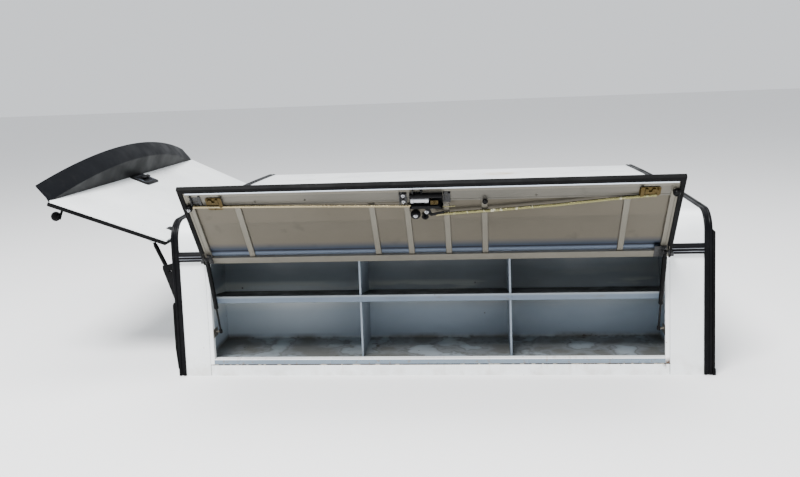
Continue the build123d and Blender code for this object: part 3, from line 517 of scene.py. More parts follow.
behind_notch = (BELT_ENDS[0], HINGE_NOTCH[0])
ahead_of_notch = (HINGE_NOTCH[1], BELT_ENDS[1])
near_belt = bmesh.new()
add_bar(near_belt, belt_outline(-1, BELT[0]), *behind_notch)
add_bar(near_belt, belt_outline(-1, NOTCH_TOP), *HINGE_NOTCH)
add_bar(near_belt, belt_outline(-1, BELT[0]), *ahead_of_notch)
make("near_belt", near_belt, black_paint, stands_for=["near_belt_rail"])
far_belt = bmesh.new()
add_bar(far_belt, belt_outline(1, BELT[0]), *BELT_ENDS)
make("far_belt", far_belt, black_paint, stands_for=["far_belt_rail"])

# Painted highlight: pale grey lines along the grooves stand for light caught by the ribs' edges.
wear_and_reflection = mottled("groove_highlight", (0.36, 0.38, 0.41), (0.10, 0.105, 0.12), 0.4, (30.0, 0.35, 0.7, (0.3, 1, 1)),
               0.6)
grooves = bmesh.new()
for side, rib, (x0, x1) in ((-1, 0, behind_notch), (-1, 0, ahead_of_notch), (-1, 1, BELT_ENDS),
                            (1, 0, BELT_ENDS), (1, 1, BELT_ENDS)):
    foot = BELT[0] + (2 * rib + 1.25) * BELT_STEP
    groove = side * (SHELL_HALF + BELT_DEPTH - BELT_GROOVE)
    low, high = sorted((groove - side * 0.001, groove + side * 0.0004))
    add_bar(grooves, oblong(low, high, foot, foot + 0.0028), x0 + 0.001, x1 - 0.001)
make("belt_groove_lines", grooves, wear_and_reflection)


# Edge trims
# A black extrusion wraps the raw edge of the shell at each end, from foot to foot over the
# roof. It has two raised beads with a shallow channel between them.
SHOULDER = 0.618
SHOULDER_RADIUS = 0.08
CROWN = 0.010
TRIM_DEPTH = 0.006
TRIM_WIDTH = 0.030
TRIM_FOOT = 0.002


def shell_path():
    """Points round the shell's outside as (y, z) with the outward direction at each."""
    steps = 10
    flat = SHELL_HALF - SHOULDER_RADIUS
    bend = SHOULDER - SHOULDER_RADIUS
    crown_radius = (flat ** 2 + CROWN ** 2) / (2 * CROWN)
    lean = flat / crown_radius
    path = [((-SHELL_HALF, TRIM_FOOT), (-1, 0))]
    for k in range(steps + 1):
        a = radians(180) - radians(90) * k / steps
        path.append(((-flat + SHOULDER_RADIUS * cos(a), bend + SHOULDER_RADIUS * sin(a)), (cos(a), sin(a))))
    for k in range(1, 2 * steps):
        a = lean * (k / steps - 1)
        height = SHOULDER + CROWN - crown_radius * (1 - cos(a))
        path.append(((crown_radius * sin(a), height), (sin(a), cos(a))))
    mirrored = [((-p[0], p[1]), (-n[0], n[1])) for p, n in reversed(path[:steps + 2])]
    return path + mirrored


def add_hoop(mesh, section):
    """Sweeps a section of (x, outward) points round the shell."""
    loops = []
    for (y, z), (ny, nz) in shell_path():
        loops.append([mesh.verts.new((x, y + out * ny, z + out * nz)) for x, out in section])
    add_skin(mesh, loops)


def trim_section(x0):
    """Two rounded beads with a channel between them, x0 being the trim's rear edge."""
    width = TRIM_WIDTH
    shape = [(0.0, 0.0), (0.0, 0.55), (0.05, 0.85), (0.13, 1.0), (0.30, 1.0), (0.37, 0.85), (0.40, 0.45),
             (0.60, 0.45), (0.63, 0.85), (0.70, 1.0), (0.87, 1.0), (0.95, 0.85), (1.0, 0.55), (1.0, 0.0)]
    return [(x0 + width * a, TRIM_DEPTH * b) for a, b in shape]


for name, x0, node in (("front_trim", 0.0, "front_edge_trim"), ("rear_trim", -2.02, "rear_edge_trim")):
    hoop = bmesh.new()
    add_hoop(hoop, trim_section(x0))
    make(name, hoop, black_paint, stands_for=[node])


# Weather strips and feet at the two ends
# Black rubber strips close the gap to the cab in front and to the lift door behind. The
# front one is cut on a slant at its top, and stands in a moulded foot.
FRONT_FACE = 0.030
REAR_FACE = -2.020

rubber = satin_black("rubber", (0.0018, 0.0018, 0.0020), (0.0040, 0.0040, 0.0042), 0.6, 500.0)
front_strips = bmesh.new()
rear_strips = bmesh.new()
for side in (-1, 1):
    outer = side * 0.886
    inner = side * 0.866
    middle = (outer + inner) / 2
    soft = 0.0025
    section = [(FRONT_FACE, inner), (FRONT_FACE + 0.006, inner), (FRONT_FACE + 0.010, inner + side * soft),
               (FRONT_FACE + 0.010, middle - side * 0.002), (FRONT_FACE + 0.0075, middle),
               (FRONT_FACE + 0.010, middle + side * 0.002), (FRONT_FACE + 0.010, outer - side * soft),
               (FRONT_FACE + 0.006, outer), (FRONT_FACE, outer)]
    add_bar(front_strips, section, 0.030, 0.541, "Z")
    for corner in front_strips.verts:
        if abs(corner.co.z - 0.541) < 0.00001:
            corner.co.z = 0.551 - (corner.co.x - FRONT_FACE)
    add_bar(rear_strips, [(REAR_FACE, 0.030), (REAR_FACE, 0.300), (REAR_FACE - 0.0045, 0.297),
                          (REAR_FACE - 0.008, 0.288), (REAR_FACE - 0.008, 0.112), (REAR_FACE - 0.006, 0.088),
                          (REAR_FACE - 0.0015, 0.034)], side * 0.874, side * 0.886, "Y")
make("front_strips", front_strips, rubber, edge=0.001)
make("rear_strips", rear_strips, rubber, edge=0.0018, stands_for=["rear_seals"])
feet = bmesh.new()
for side in (-1, 1):
    low, high = sorted((side * 0.888, side * 0.866))
    add_bar(feet, [(FRONT_FACE, 0.0), (FRONT_FACE + 0.012, 0.0), (FRONT_FACE + 0.012, 0.022),
                   (FRONT_FACE + 0.009, 0.030), (FRONT_FACE, 0.030)], low, high, "Y")
make("front_feet", feet, rubber, edge=0.0015, stands_for=["front_seals"])


# Base rails
# Box sections of mill aluminium run round the foot of the shell and rest on the truck's bed.
# The sheets of the shell are riveted to them.
def mill_finish(name, colour, dull, roughness, grain=(2.5, 60, 60)):
    """Aluminium as it leaves the mill: rolling lines, cloudy oxide and a few scratches."""
    finish, tree, shader = new_finish(name, metallic=0.85)
    lines = clouds(tree, 26.0, 0.3, 0.7, grain, 6.0)
    tone = over(tree, clouds(tree, 3.2, 0.35, 0.75), colour, dull)
    tone = over(tree, times(tree, lines, 0.35), tone, tuple(c * 1.25 for c in colour))
    stains = times(tree, clouds(tree, 12.0, 0.62, 0.8), 0.5)
    tone = over(tree, stains, tone, tuple(c * 0.5 for c in dull))
    cover(tree, shader, tone, lines, roughness - 0.07, roughness + 0.07)
    emboss(tree, shader, lines, 0.00008)
    emboss(tree, shader, clouds(tree, 4.0, 0.2, 0.8, detail=1.0), 0.0015)
    return finish


mill_bar = mill_finish("mill_bar", (0.155, 0.145, 0.120), (0.125, 0.115, 0.094), 0.42)
dress(["side_base_rails", "front_base_rail"], mill_bar, 0.002)


# Rear frame, gussets and hinge arms
# White posts and a header stiffen the rear doorway. A black holed gusset stands out from each
# post under the belt, and black forked arms on the header hold the lift door's hinge pins.
gussets = bmesh.new()
for side in (-1, 1):
    fold_low, fold_high = sorted((side * 0.872, side * 0.846))
    add_bar(gussets, [(-2.020, 0.456), (-2.020, 0.306), (-2.023, 0.306), (-2.023, 0.456)],
            fold_low, fold_high, "Y")
    add_turned(gussets, [(0.007, 0), (0.0115, 0), (0.0115, 0.0012), (0.0104, 0.0016), (0.0078, 0.0016),
                         (0.007, 0.0010), (0.007, 0)], (-2.034, side * 0.877, 0.424), (0, side, 0), 24)
black_steel = satin_black("black_steel", (0.0025, 0.0026, 0.0030), (0.0060, 0.0060, 0.0062), 0.36, 220.0)
make("gusset_folds", gussets, black_steel, edge=0.0006)
dress(["rear_gussets", "rear_hinge_arms"], black_steel, 0.0012)


# Inside of the toolbox
# White painted sheet, coloured a darker blue-grey as painted shade: floor, back, ends, ceiling, one
# shelf that falls towards the back, and two dividers with turned front edges. Dust and dried stains
# lie on the floor, and rubbed patches show on the back.
INNER_IN_SHADE = (0.285, 0.33, 0.365)
INNER_WORN_IN_SHADE = (0.20, 0.225, 0.24)
DUST = (0.110, 0.108, 0.098)


def box_white(name, floor_dirt_and_shade):
    """Satin paint of the toolbox, with a painted pool of light and a band of painted shade low down; with
    floor_dirt_and_shade, painted shade above the shelf and dirt up to a few centimetres above its floor.
    """
    finish, tree, shader = new_finish(name)
    colour = over(tree, clouds(tree, 3.4, 0.38, 0.7, (0.6, 1, 1.6)), INNER_IN_SHADE, INNER_WORN_IN_SHADE)
    rubbed = times(tree, clouds(tree, 5.0, 0.58, 0.68, (0.5, 1, 2.4)), 0.55)
    colour = over(tree, rubbed, colour, (0.36, 0.385, 0.38))
    above_floor = near_level(tree, "Z", 0.070, 0.050)
    under_shelf = near_level(tree, "Z", 0.285, 0.300)
    # Painted light: a paler pool low in the rear bay, under the shelf.
    lit = times(tree, near_level(tree, "X", -1.60, -1.25), under_shelf, above_floor, 0.85)
    colour = over(tree, lit, colour, (0.56, 0.61, 0.62))
    # Painted shade: a blue-grey band low on the walls, just above the floor.
    low_blue_shade = times(tree, near_level(tree, "Z", 0.165, 0.205), near_level(tree, "Z", 0.058, 0.052), 0.5)
    colour = over(tree, low_blue_shade, colour, (0.22, 0.30, 0.40))
    if floor_dirt_and_shade:
        # Painted shade: the upper bay and ceiling darken above the shelf.
        shade = times(tree, near_level(tree, "Z", 0.35, 0.27), 0.76)
        colour = over(tree, shade, colour, (0.085, 0.104, 0.120))
        dust = times(tree, near_level(tree, "Z", 0.049, 0.070), clouds(tree, 7.0, 0.34, 0.56), 0.92)
        colour = over(tree, dust, colour, DUST)
        dried_edge = times(tree, clouds(tree, 7.0, 0.40, 0.43), clouds(tree, 7.0, 0.47, 0.44),
                           near_level(tree, "Z", 0.049, 0.052), 0.6)
        colour = over(tree, dried_edge, colour, (0.07, 0.065, 0.055))
        wiped = times(tree, clouds(tree, 3.0, 0.50, 0.54, (0.5, 1, 4)), near_level(tree, "Z", 0.270, 0.190),
                      near_level(tree, "Z", 0.285, 0.300), 0.5)
        colour = over(tree, wiped, colour, (0.46, 0.48, 0.45))
        grit = times(tree, near_level(tree, "Z", 0.050, 0.070), clouds(tree, 46.0, 0.57, 0.66),
                     clouds(tree, 6.0, 0.45, 0.62))
        colour = over(tree, grit, colour, (0.06, 0.05, 0.04))
    colour = over(tree, specks(tree, 26.0, 0.13, 0.14), colour, (0.12, 0.12, 0.12))
    cover(tree, shader, colour, clouds(tree, 8.0), 0.38, 0.6)
    emboss(tree, shader, clouds(tree, 380.0, 0.3, 0.7), 0.00008)
    emboss(tree, shader, clouds(tree, 2.2, 0.2, 0.8, detail=1.0), 0.003)
    return finish


box_paint = box_white("box_paint", True)
dress(["toolbox_floor", "toolbox_back", "toolbox_ends", "toolbox_ceiling", "far_toolbox"],
      box_paint, 0.0006)

SHELF_FRONT = -0.819
SHELF_BACK = -0.5305
SHELF_TOP = 0.304
SHELF_ENDS = (-1.918, -0.091)
SHELF_FALL = 0.048
SHEET = 0.002
tray_front = SHELF_FRONT + SHEET
tray = bmesh.new()
add_bar(tray, [(SHELF_BACK, SHELF_TOP - SHELF_FALL), (tray_front, SHELF_TOP - 0.0004),
               (tray_front, SHELF_TOP - 0.0024), (SHELF_BACK, SHELF_TOP - SHELF_FALL - SHEET)], *SHELF_ENDS)
# The shelf's top is darkened nearly to black, partly with dust and partly as painted shade.
dust_and_shade_paint = box_white("dust_and_shade_paint", False)
tint(dust_and_shade_paint, clouds(dust_and_shade_paint.node_tree, 6.0, 0.1, 0.45), (0.035, 0.032, 0.028))
make("shelf_tray", tray, dust_and_shade_paint, stands_for=["toolbox_shelf"])

lip_shade_and_dirt_paint = box_white("lip_shade_and_dirt_paint", False)
tree = lip_shade_and_dirt_paint.node_tree
# Painted shade: the lip's face below its rolled top is a dark blue; the clouds after it are dirt.
tint(lip_shade_and_dirt_paint, times(tree, near_level(tree, "Z", 0.294, 0.304), 0.95), (0.095, 0.130, 0.175))
tint(lip_shade_and_dirt_paint, times(tree, clouds(tree, 12.0, 0.62, 0.70, (1, 1, 3)), 0.6), (0.10, 0.10, 0.09))
lip_section = [(0.0030, -0.0004), (0.0015, 0), (0, -0.0015), (0, -0.0255), (0.0015, -0.0270),
               (0.0100, -0.0270), (0.0100, -0.0255), (0.0020, -0.0245), (0.0020, -0.0020), (0.0030, -0.0020)]
shelf = bmesh.new()
add_bar(shelf, [(SHELF_FRONT + back, SHELF_TOP + rise) for back, rise in lip_section], *SHELF_ENDS)
add_rivets(shelf, [(x, SHELF_FRONT, SHELF_TOP - 0.013) for x in (-1.2995, -1.2835, -0.7165, -0.7005)],
           (0, -1, 0))
make("shelf_lip", shelf, lip_shade_and_dirt_paint, edge=0.0004)

BOX_FLOOR = 0.0472
BOX_CEILING = 0.490
DIVIDER_FRONT = -0.814
turned_edge = [(0, 0.0012), (0.0006, 0.0002), (0.0022, 0), (0.0065, 0), (0.0075, 0.0008), (0.0075, 0.0035),
               (0.0065, 0.0035), (0.0062, 0.0018), (SHEET, 0.0018), (0, 0.0030)]
dividers = bmesh.new()
for x in (-1.2931, -0.7101):
    for front_low, front_high, back_low, back_high in (
            (BOX_FLOOR, SHELF_TOP - 0.0034, BOX_FLOOR, SHELF_TOP - SHELF_FALL - SHEET),
            (SHELF_TOP - 0.0010, BOX_CEILING, SHELF_TOP - SHELF_FALL, BOX_CEILING)):
        sheet = [(DIVIDER_FRONT + 0.001, front_low), (DIVIDER_FRONT + 0.001, front_high),
                 (SHELF_BACK, back_high), (SHELF_BACK, back_low)]
        add_bar(dividers, sheet, x, x + SHEET)
        add_bar(dividers, [(x + across, DIVIDER_FRONT + back) for across, back in turned_edge],
                front_low, front_high, "Z")
divider_shade_paint = box_white("divider_shade_paint", False)
# Painted shade: the dividers are coloured a darker blue-grey than the walls.
tint(divider_shade_paint, clouds(divider_shade_paint.node_tree, 2.0, 0.0, 0.1), (0.20, 0.24, 0.285))
make("divider_sheets", dividers, divider_shade_paint, stands_for=["toolbox_dividers"])


# Hinge of the toolbox door
# A piano hinge in mill aluminium: knuckles rolled round a steel wire, and a leaf riveted to
# the outside of the door. Two lugs on the wall hold the ends of the wire.
DOOR_HINGE = Vector((0, -0.902, 0.464))
raise_door = (Matrix.Translation(DOOR_HINGE) @ Matrix.Rotation(radians(-141.0), 4, "X")
              @ Matrix.Translation(-DOOR_HINGE))
DOOR_ENDS = (-1.881, -0.128)
SKIN_ENDS = (-1.874, -0.135)
DOOR_TOP = 0.458
DOOR_FOOT = 0.042
SKIN_FOOT = 0.049
KNUCKLE = 0.0501
KNUCKLE_RADIUS = 0.006


def make_on_door(name, mesh, finish, stands_for=(), edge=0.0):
    """A piece of the toolbox door: drawn on the shut door and raised with it."""
    make(name, mesh, finish, "toolbox_door", stands_for, edge, raise_door)


hinge = bmesh.new()
rings = []
count = round((DOOR_ENDS[1] - DOOR_ENDS[0]) / KNUCKLE)
pitch = (DOOR_ENDS[1] - DOOR_ENDS[0]) / count
for k in range(count):
    start = k * pitch
    rings += [(KNUCKLE_RADIUS - 0.0008, start), (KNUCKLE_RADIUS, start + 0.0006),
              (KNUCKLE_RADIUS, start + pitch - 0.0006)]
rings.append((KNUCKLE_RADIUS - 0.0008, count * pitch))
add_turned(hinge, rings, (DOOR_ENDS[0], DOOR_HINGE.y, DOOR_HINGE.z), (1, 0, 0), 16)
add_bar(hinge, oblong(-0.9025, -0.9003, 0.440, 0.4595), *SKIN_ENDS)
add_rivets(hinge, [(x, -0.9025, 0.449) for x in spaced(-1.85, -0.16, 18)], (0, -1, 0))
make_on_door("piano_hinge", hinge, mill_bar, ["toolbox_door_hinge"])
zinc = mill_finish("bright_zinc", (0.045, 0.045, 0.046), (0.014, 0.014, 0.014), 0.30, (30, 30, 30))
dress(["toolbox_hinge_pin"], zinc, 0.0008)
dress(["toolbox_strut_mounts"], mill_bar, 0.0008)


# Skin of the toolbox door
# The outside is gloss white. The inside is bare mill sheet with faint rolling lines and two long creases,
# its beige-grey darkened as painted shade. Beside the hinge a dark blue band, a darker line and a light blue
# edge are a painted reflection.
INNER_FACE = -0.897
outer_skin = bmesh.new()
add_bar(outer_skin, oblong(-0.900, -0.8986, SKIN_FOOT, DOOR_TOP), *SKIN_ENDS)
door_white = baked_white("door_white", WHITE, WHITE_WORN, 0.02)
make_on_door("door_outer_skin", outer_skin, door_white, ["toolbox_door_skin"])
mill_sheet_in_shade = mill_finish("mill_sheet_in_shade", (0.098, 0.087, 0.068), (0.079, 0.070, 0.053), 0.36, (1.2, 30, 60))
door_up = raise_door.to_3x3() @ Vector((0, 0, 1))
door_zero = DOOR_HINGE.z - DOOR_HINGE.dot(door_up)


def door_level(tree, start, end):
    """Rises from 0 at a height of the shut door to 1 at another."""
    lift = tree.nodes.new("ShaderNodeVectorMath")
    lift.operation = "DOT_PRODUCT"
    lift.inputs[1].default_value = door_up
    tree.links.new(part_space(tree), lift.inputs[0])
    return limits(tree, lift.outputs["Value"], start - door_zero, end - door_zero)


tree = mill_sheet_in_shade.node_tree
# Painted reflection beside the hinge: a dark blue band, a darker line, then a light blue highlight towards
# the hinge.
tint(mill_sheet_in_shade, door_level(tree, 0.352, 0.385), (0.026, 0.034, 0.050))
dark_line = times(tree, door_level(tree, 0.389, 0.392), door_level(tree, 0.398, 0.395))
tint(mill_sheet_in_shade, dark_line, (0.006, 0.008, 0.014))
tint(mill_sheet_in_shade, door_level(tree, 0.399, 0.412), (0.24, 0.295, 0.40))
inner_skin = bmesh.new()
crease = 0.0007
section = [(-0.8986, SKIN_FOOT), (-0.8986, DOOR_TOP), (INNER_FACE, DOOR_TOP)]
for z in (0.395, 0.235):
    section += [(INNER_FACE, z + 0.004), (INNER_FACE + crease, z), (INNER_FACE, z - 0.004)]
add_bar(inner_skin, section + [(INNER_FACE, SKIN_FOOT)], *SKIN_ENDS)
make_on_door("door_inner_skin", inner_skin, mill_sheet_in_shade)


# Frame of the toolbox door
# Extruded aluminium round the edge: a raised rim outside with a pale strip of painted highlight
# along the free edge, and a broad flat face inside it. Corner plates with rivets join the four lengths.
FRAME_FACE = -0.885
FRAME_WIDTH = 0.036
RIM = 0.020


def frame_section(outer, inward):
    """(height, across) points of the extrusion, from the door's edge inward, height along +Y."""
    shape = [(0.0, 0.0), (0.0, 0.0112), (0.0008, 0.0118), (RIM - 0.001, 0.0118), (RIM, 0.0112),
             (RIM + 0.001, 0.0098), (FRAME_WIDTH - 0.0015, 0.0098), (FRAME_WIDTH, 0.0085), (FRAME_WIDTH, 0.0)]
    return [(INNER_FACE + rise, outer + inward * across) for across, rise in shape]


door_frame = bmesh.new()
add_bar(door_frame, frame_section(SKIN_FOOT, 1), *SKIN_ENDS)
top_foot = DOOR_TOP - FRAME_WIDTH
add_bar(door_frame, [(INNER_FACE, DOOR_TOP), (INNER_FACE, top_foot), (FRAME_FACE - 0.001, top_foot),
                     (FRAME_FACE, top_foot + 0.001), (FRAME_FACE, DOOR_TOP - 0.008),
                     (FRAME_FACE - 0.003, DOOR_TOP - 0.004), (FRAME_FACE - 0.003, DOOR_TOP)], *SKIN_ENDS)
PLATE_FACE = INNER_FACE + 0.0110
for outer, inward in ((SKIN_ENDS[0], 1), (SKIN_ENDS[1], -1)):
    add_bar(door_frame, [(x, y) for y, x in frame_section(outer, inward)], SKIN_FOOT + RIM, top_foot, "Z")
    corner = outer + inward * 0.020
    low, high = sorted((corner, corner + inward * 0.014))
    for foot, head in ((SKIN_FOOT + 0.022, SKIN_FOOT + 0.060), (DOOR_TOP - 0.052, DOOR_TOP - 0.010)):
        add_bar(door_frame, oblong(low, high, INNER_FACE + 0.0095, PLATE_FACE), foot, head, "Z")
        rivets = [(corner + inward * 0.007, PLATE_FACE, z) for z in (foot + 0.010, head - 0.010)]
        add_rivets(door_frame, rivets, (0, 1, 0))
make_on_door("door_frame_extrusion", door_frame, mill_bar, edge=0.0005)

# Painted highlight: a pale blue-white strip on the rim along the free edge.
rim_highlight = mill_finish("rim_painted_highlight", (0.70, 0.76, 0.84), (0.56, 0.61, 0.70), 0.3)
rim_highlight_strip = bmesh.new()
strip_section = [(0.0115, 0.0125), (0.0128, 0.0130), (0.0128, 0.0190), (0.0115, 0.0198)]
add_bar(rim_highlight_strip, [(INNER_FACE + rise, SKIN_FOOT + up) for rise, up in strip_section],
        SKIN_ENDS[0] + 0.020, SKIN_ENDS[1] - 0.016)
make_on_door("rim_highlight_strip", rim_highlight_strip, rim_highlight)

EAR_TIP = -0.860
ears = bmesh.new()
for x, inward in ((-1.853, 1), (-0.156, -1)):
    ear = x - inward * 0.011
    low, high = sorted((ear - inward * 0.003, ear))
    add_bar(ears, [(FRAME_FACE - 0.004, 0.3945), (EAR_TIP - 0.004, 0.3985), (EAR_TIP, 0.403),
                   (EAR_TIP, 0.415), (EAR_TIP - 0.004, 0.4195), (FRAME_FACE - 0.004, 0.4235)], low, high)
    low, high = sorted((ear - inward * 0.001, ear - inward * 0.010))
    add_bar(ears, oblong(FRAME_FACE - 0.0035, FRAME_FACE - 0.0012, 0.390, 0.428), low, high)
    stud = [(0.004, 0), (0.004, 0.015), (0.0062, 0.0155), (0.0062, 0.0185), (0.004, 0.0195), (0, 0.0195)]
    add_turned(ears, stud, (ear, -0.868, 0.409), (inward, 0, 0), 16)
make_on_door("strut_ears", ears, zinc, ["toolbox_door_frame"], 0.0008)


# Ribs of the toolbox door
# Six shallow box stiffeners, folded from aluminium strip. They are bonded to the skin inside
# the frame, and riveted at their ends.
RIB_PLACES = (-1.6802, -1.1956, -1.0705, -0.9316, -0.7978, -0.3114)
RIB_FOOT = 0.133
RIB_HEAD = 0.422
RIB_RISE = 0.0070
hat = [(-0.0115, 0.0), (-0.0105, 0.0060), (-0.0092, RIB_RISE),
       (0.0092, RIB_RISE), (0.0105, 0.0060), (0.0115, 0.0)]
ribs = bmesh.new()
for x in RIB_PLACES:
    add_bar(ribs, [(x + across, INNER_FACE + rise) for across, rise in hat], RIB_FOOT, RIB_HEAD, "Z")
    ends = [(x, INNER_FACE + RIB_RISE, z) for z in (RIB_FOOT + 0.012, RIB_HEAD - 0.010)]
    add_rivets(ribs, ends, (0, 1, 0), 0.0024)
make_on_door("door_ribs", ribs, mill_bar, ["toolbox_door_ribs"], 0.0004)


# Seal of the toolbox door
# Black rubber grips the three free edges of the door: a soft bulb inside and a thin lip that
# laps over the white skin outside. Its corners are butted and cut at 45 degrees.
bulb = [(-0.9008, 0.0085), (-0.9010, 0.0010), (-0.9000, 0.0), (-0.8930, 0.0), (-0.8850, 0.0004),
        (-0.8822, 0.0022), (-0.8812, 0.0055), (-0.8812, 0.0140), (-0.8822, 0.0180), (-0.8853, 0.0200),
        (-0.8853, 0.0071), (-0.9001, 0.0071), (-0.9001, 0.0085)]
EAR_FOOT = 0.398
BESIDE_EAR = 0.009


def add_door_rubber(mesh, section):
    """Runs a section of (y, across) points down one end of the door, along its foot and up again.

    Beside the strut's ear it is no wider than the gap there.
    """
    stops = [(DOOR_TOP, 0, BESIDE_EAR), (EAR_FOOT, 0, BESIDE_EAR),
             (EAR_FOOT - 0.006, 0, 1), (DOOR_FOOT, 1, 1)]
    loops = []
    for x, inward, heights in ((DOOR_ENDS[0], 1, stops), (DOOR_ENDS[1], -1, reversed(stops))):
        for z, rising, widest in heights:
            loops.append([mesh.verts.new((x + inward * min(across, widest), y, z + rising * across))
                          for y, across in section])
    add_skin(mesh, loops)


seal = bmesh.new()
add_door_rubber(seal, bulb)
make_on_door("door_edge_rubber", seal, rubber, ["toolbox_door_seal"])


# Door of the far toolbox
# The far side has the same toolbox and door, drawn shut and fixed: the white skin, its rubber
# edge, and the leaf of its hinge, which tucks in under the belt rail.
far_side = Matrix.Translation((0, -0.005, 0)) @ Matrix.Scale(-1, 4, (0, 1, 0))
far_skin = bmesh.new()
add_bar(far_skin, oblong(-0.900, INNER_FACE, SKIN_FOOT, DOOR_TOP), *SKIN_ENDS)
make("far_door_skin", far_skin, door_white, stands_for=["far_toolbox_door"],
     edge=0.0006, turn=far_side)
far_edge = bmesh.new()
add_door_rubber(far_edge, [(-0.9008, 0.0085), (-0.9010, 0.0010), (-0.9000, 0.0), (-0.8865, 0.0),
                           (-0.8852, 0.0012), (-0.8852, 0.0071), (-0.9001, 0.0071), (-0.9001, 0.0085)])
make("far_door_rubber", far_edge, rubber, turn=far_side)
far_leaf = bmesh.new()
add_bar(far_leaf, [(-0.8998, 0.440), (-0.9006, 0.4402), (-0.9009, 0.4406), (-0.9009, DOOR_TOP),
                   (-0.8998, DOOR_TOP)], *SKIN_ENDS)
make("far_hinge_leaf", far_leaf, mill_bar, turn=far_side)


# Latch rail of the toolbox door
# A pressed rail beside the frame's lower length carries the lock and latches. It is duller than
# the rim, with a shallow step along its middle and small bolts.
RAIL_FOOT = 0.103
RAIL_HEAD = 0.1335
RAIL_ENDS = (-1.838, -0.171)
RAIL_WING = RAIL_FOOT - 0.0182
rail_section = [(0, RAIL_WING), (0.0082, RAIL_WING), (0.0095, RAIL_FOOT), (0.0095, RAIL_FOOT + 0.006),
                (0.0070, RAIL_FOOT + 0.007), (0.0070, RAIL_HEAD - 0.008), (0.0085, RAIL_HEAD - 0.007),
                (0.0085, RAIL_HEAD - 0.001), (0.0075, RAIL_HEAD), (0, RAIL_HEAD)]
rail = bmesh.new()
add_bar(rail, [(INNER_FACE + rise, z) for rise, z in rail_section], *RAIL_ENDS)


def add_bolt(mesh, place, along, radius=0.0065, height=0.005):
    """A hexagon head on a washer, with the end of its screw."""
    base = Vector(place)
    out = Vector(along).normalized()
    washer, stem = radius * 1.45, radius * 0.45
    add_turned(mesh, [(washer, 0), (washer, 0.0012), (radius * 1.3, 0.0016), (0, 0.0016)], base, out, 20)
    add_turned(mesh, [(radius, 0), (radius, height * 0.8), (radius * 0.82, height), (0, height)],
               base + out * 0.0014, out, 6)
    add_turned(mesh, [(stem, 0), (stem, 0.0025), (radius * 0.3, 0.0032), (0, 0.0032)],
               base + out * (height + 0.001), out, 12)


RAIL_FACE = INNER_FACE + 0.007
for x, z in ((-1.428, 0.112), (-0.796, 0.118), (-0.62, 0.115), (-1.61, 0.115)):
    add_bolt(rail, (x, RAIL_FACE, z), (0, 1, 0), 0.004, 0.003)
dull_rail = mill_finish("dull_rail", (0.13, 0.122, 0.104), (0.085, 0.082, 0.072), 0.48)
make_on_door("latch_channel", rail, dull_rail, ["toolbox_latch_rail"], 0.0005)


# Latches, rods and lock of the toolbox door
# Two long rods run from a black lock box in the middle to yellow zinc-plated latches near the
# ends. The lock box has a chrome cylinder and levers, and black knobs end each linkage.
yellow_zinc = mill_finish("yellow_zinc", (0.062, 0.041, 0.010), (0.030, 0.021, 0.008), 0.34, (24, 24, 24))
rod_zinc = mill_finish("rod_zinc", (0.34, 0.285, 0.17), (0.20, 0.165, 0.095), 0.28, (9, 24, 24))
tree = rod_zinc.node_tree
greener = near_level(tree, "X", -0.90, -1.02)
tint(rod_zinc, greener, (0.20, 0.185, 0.082))
glints = times(tree, greener, clouds(tree, 55.0, 0.56, 0.66, (1, 0.2, 0.2)))
tint(rod_zinc, glints, (0.42, 0.40, 0.29))
black_plastic = satin_black("black_plastic", (0.0028, 0.0028, 0.0032), (0.0060, 0.0060, 0.0065), 0.34, 600.0)
OUTWARD = (0, 1, 0)


def add_plate(mesh, outline, low, high):
    """A flat plate: its outline as (x, z) points, between two rises over the door's inner face."""
    add_bar(mesh, outline, INNER_FACE + low, INNER_FACE + high, "Y")


latches = bmesh.new()
for x0, x1, z0, z1, hook in ((-1.7874, -1.7294, 0.0891, 0.1501, 1), (-0.2772, -0.2058, 0.0873, 0.1292, -1)):
    nip = 0.006
    add_plate(latches, [(x0 + nip, z0), (x1 - nip, z0), (x1, z0 + nip), (x1, z1 - nip), (x1 - nip, z1),
                        (x0 + nip, z1), (x0, z1 - nip), (x0, z0 + nip)], 0.0085, 0.0125)
    middle = (x0 + x1) / 2
    jaw = z0 + 0.014
    fork = [(-0.017, -0.008), (-0.017, 0.016), (0.017, 0.016), (0.017, -0.008), (0.007, -0.008),
            (0.005, 0.004), (-0.005, 0.004), (-0.007, -0.008)]
    add_plate(latches, [(middle + across, jaw + up) for across, up in fork], 0.0120, 0.0170)
    tip = middle + hook * 0.026
    pawl = [(-0.006, -0.006), (0.006, -0.006), (0.007, 0.030), (0.002, 0.044), (-0.007, 0.044)]
    add_plate(latches, [(tip + across, z0 + up) for across, up in pawl], 0.0165, 0.0195)
    for x, z in ((x0 + 0.010, z0 + 0.009), (x1 - 0.010, z0 + 0.009), (middle, z1 - 0.008)):
        add_bolt(latches, (x, INNER_FACE + 0.0125, z), OUTWARD, 0.0038, 0.003)
make_on_door("end_latches", latches, yellow_zinc, ["toolbox_end_latches"], 0.0008)

